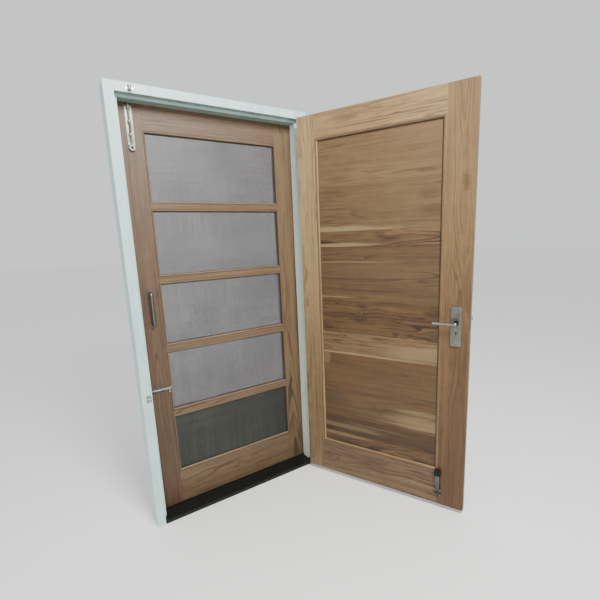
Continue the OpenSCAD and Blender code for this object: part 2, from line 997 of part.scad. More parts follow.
// A guide round the rod, its rod along Z and its lower end at z
module guide(z) {
    difference() {
        union() {
            translate([-guide_w / 2, -bolt_plate_t - 1.5, z])
                cube([guide_w, 1.5, guide_l]);
            translate([-rod_r - 2.5, -rod_out, z])
                cube([2 * rod_r + 5, rod_out - bolt_plate_t, guide_l]);
            translate([0, -rod_out, z])
                cylinder(r = rod_r + 2.5, h = guide_l);
        }
        translate([0, -rod_out, z - 1])
            cylinder(r = rod_r + rod_clear, h = guide_l + 2);
    }
}

module bolt_plate(w, z0, z1, guides) {
    difference() {
        union() {
            translate([-w / 2, -bolt_plate_t, z0])
                cube([w, bolt_plate_t, z1 - z0]);
            for (z = guides)
                guide(z);
        }
        translate([0, -rod_out, z0 - 1])
            cylinder(r = rod_r + rod_clear, h = z1 - z0 + 2);
    }
}

tower_top = -tower_plate_below_tip;
tower_bottom = tower_top - tower_plate_l;
tower_peg_z = tower_bottom + 60;
tower_guides = [tower_bottom + 38, tower_peg_z + bolt_travel + peg_r + 4, tower_top - guide_l - 2];

module tower_plate() {
    difference() {
        bolt_plate(tower_plate_w, tower_bottom, tower_top, tower_guides);
        tower_screws()
            screw_seat();
    }
}

module tower_screws() {
    for (z = [tower_bottom + 8, tower_top - 26])
        for (x = [-1, 1])
            translate([x * (tower_plate_w / 2 - 4.6), -bolt_plate_t, z])
                rotate([90, 0, 0])
                    children();
}

module tower_rod() {
    ring_z = -tower_rod_l - ring_r + 2;
    difference() {
        union() {
            translate([0, -rod_out, -tower_rod_l])
                cylinder(r = rod_r, h = tower_rod_l);
            rod_y(ring_r, 0, -rod_out - ring_t / 2, -rod_out + ring_t / 2, ring_z);
            rod_y(peg_r, 0, -rod_out - peg_l, -rod_out, tower_peg_z);
            translate([0, -rod_out - peg_l, tower_peg_z])
                sphere(r = peg_r + 1.5);
        }
        rod_y(ring_hole_r, 0, -rod_out - ring_t, -rod_out + ring_t, ring_z);
    }
}

side_near = -8;
side_far = side_near - side_plate_l;
side_drop_z = -89;
side_guides = [side_near - guide_l, side_drop_z + side_travel + peg_r + 1.5];

// The side bolts are drawn upright with their tip at the top, then laid over
module side_plate() {
    difference() {
        bolt_plate(side_plate_w, side_far, side_near, side_guides);
        side_screws()
            screw_seat();
    }
}

module side_screws() {
    for (z = [side_far + 16, side_near - guide_l - 11])
        translate([side_plate_w / 2 - 4.4, -bolt_plate_t, z])
            rotate([90, 0, 0])
                children();
}

module side_rod() {
    translate([0, -rod_out, -side_rod_l])
        cylinder(r = rod_r, h = side_rod_l);
    rod_x(peg_r, -drop_l, 0, -rod_out, side_drop_z);
    // The ball's seam is turned away from the peg
    translate([-drop_l, -rod_out, side_drop_z])
        rotate([0, 0, 180])
            sphere(r = peg_r + 1);
}

module at_screen_tower() {
    translate([tower_x, screen_near_y, screen_tower_tip])
        children();
}

module at_screen_side() {
    translate([screen_side_tip, screen_near_y, side_z])
        rotate([0, -90, 0])
            children();
}

module at_main_tower() {
    translate([tower_x, main_room_y, main_tower_tip])
        children();
}

module at_main_side() {
    translate([main_side_tip, main_room_y, side_z])
        rotate([0, -90, 0])
            children();
}

module main_tower_bolt_plate() {
    color(satin)
        hung_main()
            at_main_tower()
                tower_plate();
}

module main_tower_bolt_rod() {
    color(bright)
        hung_main()
            at_main_tower()
                tower_rod();
}

module main_side_bolt_plate() {
    color(satin)
        hung_main()
            at_main_side()
                side_plate();
}

module main_side_bolt_rod() {
    color(bright)
        hung_main()
            at_main_side()
                side_rod();
}

module screen_tower_bolt_plate() {
    color(satin)
        at_screen_tower()
            tower_plate();
}

module screen_tower_bolt_rod() {
    color(bright)
        at_screen_tower()
            tower_rod();
}

module screen_side_bolt_plate() {
    color(satin)
        at_screen_side()
            side_plate();
}

module screen_side_bolt_rod() {
    color(bright)
        at_screen_side()
            side_rod();
}

// Door holder, on the main door's back face, its arm folded up

holder_pivot_y = main_back_y + holder_pivot_out;
ear_x = arm_w / 2 + ear_gap;

module holder_screws() {
    for (x = [-1, 1])
        for (z = [8, holder_base_h - 12])
            translate([holder_x + x * (holder_base_w / 2 - 5), main_back_y + holder_base_t,
                holder_z - holder_base_h + z])
                rotate([-90, 0, 0])
                    children();
}

module holder_base() {
    top = holder_z + 6;
    color(satin)
        hung_main()
            difference() {
                union() {
                    box(holder_x - holder_base_w / 2, holder_x + holder_base_w / 2, main_back_y,
                        main_back_y + holder_base_t, holder_z - holder_base_h, top);
                    for (side = [-1, 1])
                        holder_ear(side);
                }
                holder_screws()
                    screw_seat();
            }
}

module holder_ear(side) {
    x0 = side > 0 ? holder_x + ear_x : holder_x - ear_x - ear_t;
    difference() {
        union() {
            box(x0, x0 + ear_t, main_back_y, holder_pivot_y, holder_z - 6, holder_z + 6);
            rod_x(6, x0, x0 + ear_t, holder_pivot_y, holder_z);
        }
        rod_x(holder_pin_r, x0 - 1, x0 + ear_t + 1, holder_pivot_y, holder_z);
    }
}

module holder_pin() {
    head = 1.5;
    reach = ear_x + ear_t;
    color(bright)
        hung_main() {
            rod_x(holder_pin_r, holder_x - reach, holder_x + reach, holder_pivot_y, holder_z);
            for (side = [-1, 1])
                rod_x(holder_pin_r + 1.5, holder_x + side * (reach + head / 2) - head / 2,
                    holder_x + side * (reach + head / 2) + head / 2, holder_pivot_y, holder_z);
        }
}

// A channel that is open towards the door, with a rounded foot about its pin
module holder_arm() {
    y0 = holder_pivot_y - arm_t / 2;
    y1 = holder_pivot_y + arm_t / 2;
    top = holder_z + holder_reach - 6;
    color(satin)
        hung_main()
            difference() {
                union() {
                    box(holder_x - arm_w / 2, holder_x + arm_w / 2, y0, y1, holder_z, top);
                    rod_x(arm_t / 2, holder_x - arm_w / 2, holder_x + arm_w / 2,
                        holder_pivot_y, holder_z);
                }
                box(holder_x - arm_w / 2 + arm_wall, holder_x + arm_w / 2 - arm_wall,
                    y0 - 1, y1 - arm_wall, holder_z + 6, top - shoe_h + 6);
                rod_x(holder_pin_r + pin_clear, holder_x - arm_w, holder_x + arm_w,
                    holder_pivot_y, holder_z);
            }
}

module holder_shoe() {
    top = holder_z + holder_reach;
    y0 = holder_pivot_y - shoe_t / 2;
    color(black_rubber)
        hung_main()
            difference() {
                union() {
                    box(holder_x - shoe_w / 2, holder_x + shoe_w / 2, y0, y0 + shoe_t,
                        top - shoe_h, top - 4);
                    box(holder_x - shoe_w / 2 + 4, holder_x + shoe_w / 2 - 4, y0, y0 + shoe_t,
                        top - 4 - eps, top);
                    for (side = [-1, 1])
                        translate([holder_x + side * (shoe_w / 2 - 4), y0, top - 4])
                            rotate([-90, 0, 0])
                                cylinder(r = 4, h = shoe_t);
                }
                box(holder_x - arm_w / 2, holder_x + arm_w / 2, holder_pivot_y - arm_t / 2,
                    holder_pivot_y + arm_t / 2, top - shoe_h - 1, top - 6);
            }
}

// Screen door

// The stile on the -X side: the rebate for the bead is on the near side, the lip behind the mesh
module screen_stile() {
    difference() {
        linear_extrude(height = leaf_h)
            polygon([
                [-leaf_x, screen_near_y], [-screen_front_x, screen_near_y],
                [-screen_front_x, mesh_y1], [-light_x, mesh_y1],
                [-light_x, screen_far_y], [-leaf_x, screen_far_y]
            ]);
        translate([0, 0, -leaf_bottom]) {
            screen_tenon(leaf_bottom + tenon_shoulder,
                leaf_bottom + screen_bottom_rail_h - tenon_shoulder);
            screen_tenon(leaf_top - screen_top_rail_h + tenon_shoulder,
                leaf_top - tenon_shoulder);
            for (n = [1 : screen_mid_count])
                screen_tenon(mid_rail_z(n), mid_rail_z(n) + screen_mid_rail_h);
        }
    }
}

function mid_rail_z(n) = light_z(n) - screen_bead_w - screen_mid_rail_h;

module screen_tenon(z0, z1) {
    reach = light_x + screen_tenon_l;
    box(-reach, reach, screen_tenon_y - screen_tenon_t / 2, screen_tenon_y + screen_tenon_t / 2,
        z0, z1);
}

module screen_stile_lock() {
    color(screen_timber)
        translate([0, 0, leaf_bottom])
            screen_stile();
}

module screen_stile_hinge() {
    color(screen_timber)
        difference() {
            translate([0, 0, leaf_bottom])
                mirror([1, 0, 0])
                    screen_stile();
            door_hinge_seats(far_y, -1);
        }
}

// A rail: z0 to z1 at the front, and its lips behind the mesh from back_z0 to back_z1
module screen_rail(z0, z1, back_z0, back_z1, tenon_z0, tenon_z1) {
    box(-screen_front_x, screen_front_x, screen_near_y, mesh_y1, z0, z1);
    box(-light_x, light_x, mesh_y1, screen_far_y, back_z0, back_z1);
    screen_tenon(tenon_z0, tenon_z1);
}

module screen_rail_top() {
    z0 = leaf_top - screen_top_rail_h;
    color(screen_timber)
        screen_rail(z0, leaf_top, z0 - screen_bead_w, leaf_top,
            z0 + tenon_shoulder, leaf_top - tenon_shoulder);
}

module screen_rail_bottom() {
    z1 = leaf_bottom + screen_bottom_rail_h;
    color(screen_timber)
        screen_rail(leaf_bottom, z1, leaf_bottom, z1 + screen_bead_w,
            leaf_bottom + tenon_shoulder, z1 - tenon_shoulder);
}

module screen_mid_rails() {
    color(screen_timber)
        for (n = [1 : screen_mid_count])
            screen_rail(mid_rail_z(n), mid_rail_z(n) + screen_mid_rail_h,
                mid_rail_z(n) - screen_bead_w, light_z(n),
                mid_rail_z(n), mid_rail_z(n) + screen_mid_rail_h);
}

module screen_mesh() {
    color(mesh_grey)
        for (n = [0 : light_count - 1])
            box(-light_x - mesh_tuck, light_x + mesh_tuck, mesh_y0, mesh_y1,
                light_z(n) - mesh_tuck, light_z(n) + light_h + mesh_tuck);
}

module screen_beads() {
    color(screen_timber)
        translate([0, mesh_y0, 0])
            for (n = [0 : light_count - 1])
                bead_frame(-screen_front_x, screen_front_x, light_z(n) - screen_bead_w,
                    light_z(n) + light_h + screen_bead_w, screen_bead_w,
                    mesh_y0 - screen_near_y - bead_drop);
}

pull_x = -stop_x + 54;
pull_z = sill_t + pull_h;
pull_foot_r = 14;
pull_foot_t = 3;
pull_bend = 12;

// A bar bent round into its two legs, each on a round foot
module screen_pull_handle() {
    bar_y = screen_near_y - pull_out;
    straight_r = pull_r - 0.1;
    color(bright) {
        translate([pull_x, bar_y, pull_z - pull_l / 2 + pull_bend])
            cylinder(r = straight_r, h = pull_l - 2 * pull_bend);
        for (side = [0, 1])
            translate([pull_x, 0, pull_z])
                mirror([0, 0, side]) {
                    translate([0, bar_y + pull_bend, pull_l / 2 - pull_bend])
                        rotate([90, 0, -90])
                            rotate_extrude(angle = 90)
                                translate([pull_bend, 0])
                                    circle(r = pull_r);
                    rod_y(straight_r, 0, bar_y + pull_bend, screen_near_y, pull_l / 2);
                    rod_y(pull_foot_r, 0, screen_near_y - pull_foot_t, screen_near_y, pull_l / 2);
                }
    }
}

module screen_screws() {
    color(bright) {
        at_hinges(far_y, -1)
            door_hinge_screws()
                screw();
        at_screen_tower()
            tower_screws()
                screw(16);
        at_screen_side()
            side_screws()
                screw(16);
    }
}

frame_head();
frame_jamb_left();
frame_jamb_right();
threshold();
main_hinge_frame_leaves();
main_hinge_pins();
screen_hinge_frame_leaves();
screen_hinge_pins();
frame_screws();
strike_plate();
bolt_keeps();
main_stile_hinge();
main_stile_lock();
main_rail_top();
main_rail_bottom();
main_board_1();
main_board_2();
main_board_3();
main_board_4();
main_board_5();
main_board_6();
main_board_7();
main_board_8();
main_board_9();
main_board_10();
main_board_11();
main_beads();
main_hinge_door_leaves();
main_screws();
lock_case();
lock_plate_outer();
lock_plate_inner();
lever_outer();
lever_inner();
lever_spindle();
latch_bolt();
dead_bolt();
main_tower_bolt_plate();
main_tower_bolt_rod();
main_side_bolt_plate();
main_side_bolt_rod();
holder_base();
holder_pin();
holder_arm();
holder_shoe();
screen_stile_hinge();
screen_stile_lock();
screen_rail_top();
screen_rail_bottom();
screen_mid_rails();
screen_mesh();
screen_beads();
screen_hinge_door_leaves();
screen_pull_handle();
screen_screws();
screen_tower_bolt_plate();
screen_tower_bolt_rod();
screen_side_bolt_plate();
screen_side_bolt_rod();
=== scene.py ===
import json
import math

import bpy
import bmesh
from mathutils import Matrix, Vector


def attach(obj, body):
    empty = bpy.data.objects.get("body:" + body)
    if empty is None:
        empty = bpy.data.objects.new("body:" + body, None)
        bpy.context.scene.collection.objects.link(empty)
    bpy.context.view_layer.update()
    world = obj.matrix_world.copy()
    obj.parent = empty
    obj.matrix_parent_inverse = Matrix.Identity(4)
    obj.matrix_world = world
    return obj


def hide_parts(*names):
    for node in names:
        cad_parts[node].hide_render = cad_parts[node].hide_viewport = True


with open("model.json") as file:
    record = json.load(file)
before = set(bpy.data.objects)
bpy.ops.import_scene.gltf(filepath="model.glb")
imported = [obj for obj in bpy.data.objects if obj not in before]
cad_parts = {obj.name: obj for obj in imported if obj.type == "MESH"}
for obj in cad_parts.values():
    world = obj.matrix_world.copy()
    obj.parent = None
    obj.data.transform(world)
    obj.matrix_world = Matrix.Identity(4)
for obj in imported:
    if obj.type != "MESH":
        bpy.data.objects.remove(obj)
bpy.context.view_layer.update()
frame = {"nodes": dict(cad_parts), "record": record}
nodes = frame["nodes"]
behaviour = frame["record"]["behaviour"]
bodyOf = {member: body for body, members in behaviour["bodies"].items() for member in members}
print("loaded", len(nodes), "nodes")

# The main door's hinge line, and how far the door stands turned from shut
mainSwing = next(joint for joint in behaviour["joints"] if joint["name"] == "main_swing")
hingeLine = Vector(mainSwing["pos_m"])
openTurn = math.radians(-mainSwing["range_deg"][0])


# Tools for building node trees

def feed(tree, socket, value):
    if isinstance(value, bpy.types.NodeSocket):
        tree.links.new(value, socket)
    elif socket.type == "RGBA":
        socket.default_value = (*value, 1)
    else:
        socket.default_value = value


def putNode(tree, kind, inputs, **settings):
    made = tree.nodes.new(kind)
    for key, value in settings.items():
        setattr(made, key, value)
    for key, value in inputs.items():
        feed(tree, made.inputs[key], value)
    return made


def mathOut(tree, operation, a, b=0.0):
    return putNode(tree, "ShaderNodeMath", {0: a, 1: b}, operation=operation).outputs[0]


def vectorOut(tree, operation, a, b):
    return putNode(tree, "ShaderNodeVectorMath", {0: a, 1: b}, operation=operation).outputs[0]


def lengthOut(tree, vector):
    return putNode(tree, "ShaderNodeVectorMath", {0: vector}, operation="LENGTH").outputs["Value"]


def mixOut(tree, factor, a, b, blend="MIX"):
    return putNode(tree, "ShaderNodeMix", {0: factor, 6: a, 7: b}, data_type="RGBA", blend_type=blend,
                   clamp_factor=True).outputs[2]


# From nothing at low to full at high
def stepOut(tree, value, low, high):
    return putNode(tree, "ShaderNodeMapRange", {0: value, 1: low, 2: high, 3: 0.0, 4: 1.0},
                   interpolation_type="SMOOTHSTEP").outputs[0]


def flipOut(tree, value):
    return mathOut(tree, "SUBTRACT", 1.0, value)


# A share of how far a value stands above or below its middle
def shareOut(tree, value, share, middle=0.5):
    return mathOut(tree, "MULTIPLY", mathOut(tree, "SUBTRACT", value, middle), share)


# Zero becomes least, and one stays one
def raiseOut(tree, value, least):
    return mathOut(tree, "ADD", mathOut(tree, "MULTIPLY", value, 1 - least), least)


def noiseOut(tree, vector, scale, detail=2.0, rough=0.5, distortion=0.0):
    return putNode(tree, "ShaderNodeTexNoise", {"Vector": vector, "Scale": scale, "Detail": detail,
                   "Roughness": rough, "Distortion": distortion}).outputs[0]


# Noise with its own scale on each axis, so that its marks are drawn out
def drawnNoise(tree, vector, scales, detail=2.0, rough=0.5):
    return noiseOut(tree, vectorOut(tree, "MULTIPLY", vector, scales), 1.0, detail, rough)


def lineNoise(tree, value, scale, detail):
    return putNode(tree, "ShaderNodeTexNoise", {"W": value, "Scale": scale, "Detail": detail},
                   noise_dimensions="1D").outputs[0]


def objectCoords(tree):
    return tree.nodes.new("ShaderNodeTexCoord").outputs["Object"]


def newGroup(name, kind, inputs, outputs):
    tree = bpy.data.node_groups.new(name, kind)
    for label, sort, value in inputs:
        socket = tree.interface.new_socket(name=label, in_out="INPUT", socket_type="NodeSocket" + sort)
        socket.default_value = value
    for label, sort in outputs:
        tree.interface.new_socket(name=label, in_out="OUTPUT", socket_type="NodeSocket" + sort)
    return tree, tree.nodes.new("NodeGroupInput").outputs, tree.nodes.new("NodeGroupOutput").inputs


def useGroup(tree, group, inputs):
    return putNode(tree, "ShaderNodeGroup", inputs, node_tree=group).outputs


def newMaterial(name, rough, gloss=0.5, metal=0.0):
    material = bpy.data.materials.new(name)
    material.use_nodes = True
    shader = material.node_tree.nodes["Principled BSDF"]
    shader.inputs["Roughness"].default_value = rough
    shader.inputs["Specular IOR Level"].default_value = gloss
    shader.inputs["Metallic"].default_value = metal
    return material, material.node_tree, shader


def addBump(tree, shader, height, look):
    bump = putNode(tree, "ShaderNodeBump", {"Height": height, "Strength": look["bump"],
                   "Distance": look["bumpDepth"]})
    tree.links.new(bump.outputs[0], shader.inputs["Normal"])


# Sawn teak: growth rings round the grain axis, bands that follow them, streaks, dark veins and pores.
# A mark's three numbers are its scales along, through and across the stick. An edge is where a mark
# begins and where it is full, and each drift has a scale and a share
teakFigure = {
    "ring": (0.2, 1, 1), "drifts": ((3.4, 1.0), (19.0, 0.16)), "yearScale": 0.9, "yearSpread": 1.3,
    "lineRise": (0.5, 0.92), "lineFall": (0.94, 1.0), "lineMiddle": 0.15, "faintestYear": 0.15,
    "fade": (1.7, 13, 13), "fadeEdge": (0.36, 0.6), "faintest": 0.3,
    "bandYears": 0.27, "streak": (5.5, 38, 38),
    "fibre": (3, 140, 140), "fibreShare": 0.95, "fibreHeight": 0.6,
    "cloud": (1.9, 7, 7), "cloudShare": 0.8, "mottle": (16, 34, 34), "mottleShare": 0.55,
    "pore": (25, 620, 620), "poreEdge": (0.58, 0.72), "poreShare": 0.22, "poreDepth": 0.7,
    "vein": (7, 27, 27), "veinWidth": (0.004, 0.03), "veinPlace": (2.3, 9, 9), "veinPlaceEdge": (0.46, 0.62),
    "deep": (0.022, 0.008, 0.002), "deepShare": 0.55, "darkEdge": (0.85, 1.35), "darkShare": 0.75,
    "bump": 0.25, "bumpDepth": 0.0006,
}


# The place in the stick after slow drifts have bent it, and its distance from the heart in years
def growthYears(tree, given, place):
    slow = vectorOut(tree, "MULTIPLY", place, teakFigure["ring"])
    reach = putNode(tree, "ShaderNodeCombineXYZ", {1: given["Wander"], 2: given["Wander"]}).outputs[0]
    bent = slow
    for scale, share in teakFigure["drifts"]:
        drift = putNode(tree, "ShaderNodeTexNoise", {"Vector": slow, "Scale": scale, "Detail": 1.0})
        drift = vectorOut(tree, "SUBTRACT", drift.outputs["Color"], (0.5, 0.5, 0.5))
        drift = vectorOut(tree, "MULTIPLY", drift, reach)
        bent = vectorOut(tree, "ADD", bent, vectorOut(tree, "MULTIPLY", drift, (share, share, share)))
    radius = lengthOut(tree, vectorOut(tree, "MULTIPLY", bent, (0, 1, 1)))
    even = mathOut(tree, "ADD", mathOut(tree, "MULTIPLY", radius, given["Rings"]), given["Warp"])
    uneven = lineNoise(tree, even, teakFigure["yearScale"], detail=1.0)
    return bent, mathOut(tree, "ADD", even, shareOut(tree, uneven, teakFigure["yearSpread"]))


# The dark line that ends each year, fainter in some years and in some places
def yearLines(tree, years, place):
    within = mathOut(tree, "FRACT", years)
    line = mathOut(tree, "MULTIPLY", stepOut(tree, within, *teakFigure["lineRise"]),
                   flipOut(tree, stepOut(tree, within, *teakFigure["lineFall"])))
    strength = putNode(tree, "ShaderNodeTexWhiteNoise", {"W": mathOut(tree, "FLOOR", years)},
                       noise_dimensions="1D").outputs["Value"]
    fade = stepOut(tree, drawnNoise(tree, place, teakFigure["fade"]), *teakFigure["fadeEdge"])
    for share, least in ((strength, teakFigure["faintestYear"]), (fade, teakFigure["faintest"])):
        line = mathOut(tree, "MULTIPLY", line, raiseOut(tree, share, least))
    return line


def darkVeins(tree, given, bent, place):
    ridge = mathOut(tree, "SUBTRACT", drawnNoise(tree, bent, teakFigure["vein"]), 0.5)
    vein = flipOut(tree, stepOut(tree, mathOut(tree, "ABSOLUTE", ridge), *teakFigure["veinWidth"]))
    gathered = drawnNoise(tree, place, teakFigure["veinPlace"], detail=1.0)
    vein = mathOut(tree, "MULTIPLY", vein, stepOut(tree, gathered, *teakFigure["veinPlaceEdge"]))
    return mathOut(tree, "MULTIPLY", vein, given["Veins"])


def makeGrainGroup():
    tree, given, result = newGroup("sawnGrain", "ShaderNodeTree", [
        ("Vector", "Vector", (0, 0, 0)), ("Seed", "Vector", (0, 0, 0)), ("Rings", "Float", 90.0),
        ("Wander", "Float", 0.05), ("Lines", "Float", 0.5), ("Bands", "Float", 0.8), ("Veins", "Float", 0.5),
        ("Streaks", "Float", 0.9), ("Warp", "Float", 0.0), ("Tone", "Float", 0.5),
        ("Early", "Color", (0.4, 0.25, 0.13, 1)), ("Late", "Color", (0.2, 0.11, 0.05, 1)),
    ], [("Color", "Color"), ("Height", "Float")])
    place = vectorOut(tree, "ADD", given["Vector"], given["Seed"])
    bent, years = growthYears(tree, given, place)
    band = lineNoise(tree, mathOut(tree, "MULTIPLY", years, teakFigure["bandYears"]), 1.0, detail=3.0)
    streak = drawnNoise(tree, bent, teakFigure["streak"], detail=4.0, rough=0.62)
    fibre = drawnNoise(tree, place, teakFigure["fibre"], detail=3.0, rough=0.6)
    cloud = drawnNoise(tree, place, teakFigure["cloud"], detail=3.0, rough=0.6)
    mottle = drawnNoise(tree, place, teakFigure["mottle"], detail=3.0, rough=0.6)
    pores = drawnNoise(tree, place, teakFigure["pore"], detail=1.0)
    pores = stepOut(tree, pores, *teakFigure["poreEdge"])
    line = shareOut(tree, yearLines(tree, years, place), given["Lines"], teakFigure["lineMiddle"])
    tone = mathOut(tree, "ADD", given["Tone"], line)
    for value, share in ((band, given["Bands"]), (streak, given["Streaks"]),
                         (fibre, teakFigure["fibreShare"]), (cloud, teakFigure["cloudShare"]),
                         (mottle, teakFigure["mottleShare"])):
        tone = mathOut(tree, "ADD", tone, shareOut(tree, value, share))
    dark = mathOut(tree, "MULTIPLY", stepOut(tree, tone, *teakFigure["darkEdge"]), teakFigure["darkShare"])
    deep = mixOut(tree, teakFigure["deepShare"], given["Late"], teakFigure["deep"])
    colour = mixOut(tree, tone, given["Early"], given["Late"])
    colour = mixOut(tree, mathOut(tree, "MAXIMUM", darkVeins(tree, given, bent, place), dark), colour, deep)
    colour = mixOut(tree, mathOut(tree, "MULTIPLY", pores, teakFigure["poreShare"]), colour, deep)
    height = mathOut(tree, "SUBTRACT", mathOut(tree, "MULTIPLY", fibre, teakFigure["fibreHeight"]),
                     mathOut(tree, "MULTIPLY", pores, teakFigure["poreDepth"]))
    tree.links.new(colour, result["Color"])
    tree.links.new(height, result["Height"])
    return tree


# A ragged patch, long in the grain's direction, for sapwood, knots, dark hearts and the painted shade low on
# some stiles. Its hill bends the rings round it
patchShape = {"hillReach": 1.6, "rag": (5, 45, 45), "ragDepth": 3.0}


def makePatchGroup():
    tree, given, result = newGroup("grainPatch", "ShaderNodeTree", [
        ("Vector", "Vector", (0, 0, 0)), ("Centre", "Vector", (0, 0, 0)), ("Size", "Vector", (0.1, 1, 0.03)),
        ("Ragged", "Float", 0.5), ("Soft", "Float", 0.45),
    ], [("Mask", "Float"), ("Hill", "Float")])
    place = vectorOut(tree, "SUBTRACT", given["Vector"], given["Centre"])
    away = lengthOut(tree, vectorOut(tree, "DIVIDE", place, given["Size"]))
    hill = flipOut(tree, stepOut(tree, away, 0.0, patchShape["hillReach"]))
    rag = drawnNoise(tree, given["Vector"], patchShape["rag"], detail=4.0, rough=0.65)
    rag = shareOut(tree, rag, given["Ragged"])
    away = mathOut(tree, "ADD", away, mathOut(tree, "MULTIPLY", rag, patchShape["ragDepth"]))
    inner = flipOut(tree, given["Soft"])
    outer = mathOut(tree, "ADD", 1.0, given["Soft"])
    tree.links.new(flipOut(tree, stepOut(tree, away, inner, outer)), result["Mask"])
    tree.links.new(hill, result["Hill"])
    return tree


# Small scuffs and cloudy handling marks for metal, paint and rubber
smudgeShape = {"detail": 5.0, "rough": 0.62, "distortion": 0.4, "edge": (0.38, 0.72)}


def makeSmudgeGroup():
    tree, given, result = newGroup("handledSurface", "ShaderNodeTree", [
        ("Vector", "Vector", (0, 0, 0)), ("Size", "Float", 9.0), ("Amount", "Float", 0.5),
    ], [("Mask", "Float")])
    cloud = noiseOut(tree, given["Vector"], given["Size"], smudgeShape["detail"], smudgeShape["rough"],
                     smudgeShape["distortion"])
    mask = mathOut(tree, "MULTIPLY", stepOut(tree, cloud, *smudgeShape["edge"]), given["Amount"])
    tree.links.new(mask, result["Mask"])
    return tree


grainGroup = makeGrainGroup()
patchGroup = makePatchGroup()
smudgeGroup = makeSmudgeGroup()


def smudgeColour(tree, shader, coords, look):
    mask = useGroup(tree, smudgeGroup, {"Vector": coords, "Size": look["smudge"],
                    "Amount": look["smudged"]})["Mask"]
    tree.links.new(mixOut(tree, mask, look["colour"], look["dull"]), shader.inputs["Base Color"])


# Coordinates of the main door as if it were shut, so that its grain stays level and upright
def shutCoords(tree):
    moved = vectorOut(tree, "SUBTRACT", objectCoords(tree), hingeLine)
    return putNode(tree, "ShaderNodeVectorRotate", {"Vector": moved, "Angle": -openTurn},
                   rotation_type="Z_AXIS").outputs[0]


def timberMaterial(name, look):
    material, tree, shader = newMaterial(name, look["rough"], look["gloss"])
    coords = shutCoords(tree) if look["hung"] else objectCoords(tree)
    along = coords
    if look["upright"]:
        along = putNode(tree, "ShaderNodeVectorRotate", {"Vector": coords, "Angle": math.radians(90)},
                        rotation_type="Y_AXIS").outputs[0]
    masks, warp = [], 0.0
    for patch in look["patches"]:
        placed = useGroup(tree, patchGroup, {"Vector": coords, "Centre": patch["at"], "Size": patch["size"],
                          "Ragged": patch["ragged"], "Soft": patch["soft"]})
        masks.append(placed["Mask"])
        if patch["warp"]:
            warp = mathOut(tree, "ADD", mathOut(tree, "MULTIPLY", placed["Hill"], patch["warp"]), warp)
    figure = {label.title(): look[label] for label in (
        "seed", "rings", "wander", "lines", "bands", "veins", "streaks", "early", "late", "tone")}
    grain = useGroup(tree, grainGroup, {"Vector": along, "Warp": warp, **figure})
    colour = grain["Color"]
    for patch, mask in zip(look["patches"], masks):
        share = mathOut(tree, "MULTIPLY", mask, patch["amount"])
        colour = mixOut(tree, share, colour, patch["colour"], patch["blend"])
    tree.links.new(colour, shader.inputs["Base Color"])
    addBump(tree, shader, grain["Height"], teakFigure)
    return material


def grainPatch(at, size, colour, amount, ragged, soft=0.45, warp=0.0, blend="MIX"):
    return {"at": at, "size": size, "colour": colour, "amount": amount, "ragged": ragged, "soft": soft,
            "warp": warp, "blend": blend}


# A patch on the main door, placed by its distance from the hinge edge and its height above the sill.
# Shut, the door runs from its hinge line towards minus x
doorCorner = {"edge": -0.0015, "face": 0.0337, "sillTop": 0.02}


def patchAt(along, height, halfLength, halfHeight, colour, **more):
    at = (doorCorner["edge"] - along, doorCorner["face"], doorCorner["sillTop"] + height)
    return grainPatch(at, (halfLength, 1.0, halfHeight), colour, **more)


straw = (0.225, 0.165, 0.080)
heart = (0.046, 0.025, 0.010)
knotBrown = (0.033, 0.0145, 0.0045)

# Main door timber. Early and late are the pale and the dark wood, and tone is how much is dark. Rings
# are years a metre, and seed says where in the tree a stick is cut from
mainTimber = {
    "early": (0.160, 0.097, 0.043), "late": (0.080, 0.042, 0.017), "rings": 110.0, "wander": 0.10,
    "lines": 0.6, "bands": 1.0, "veins": 0.5, "streaks": 0.8, "tone": 0.4, "rough": 0.48, "gloss": 0.4,
    "upright": False, "hung": True, "arris": 0.0012, "patches": (),
}

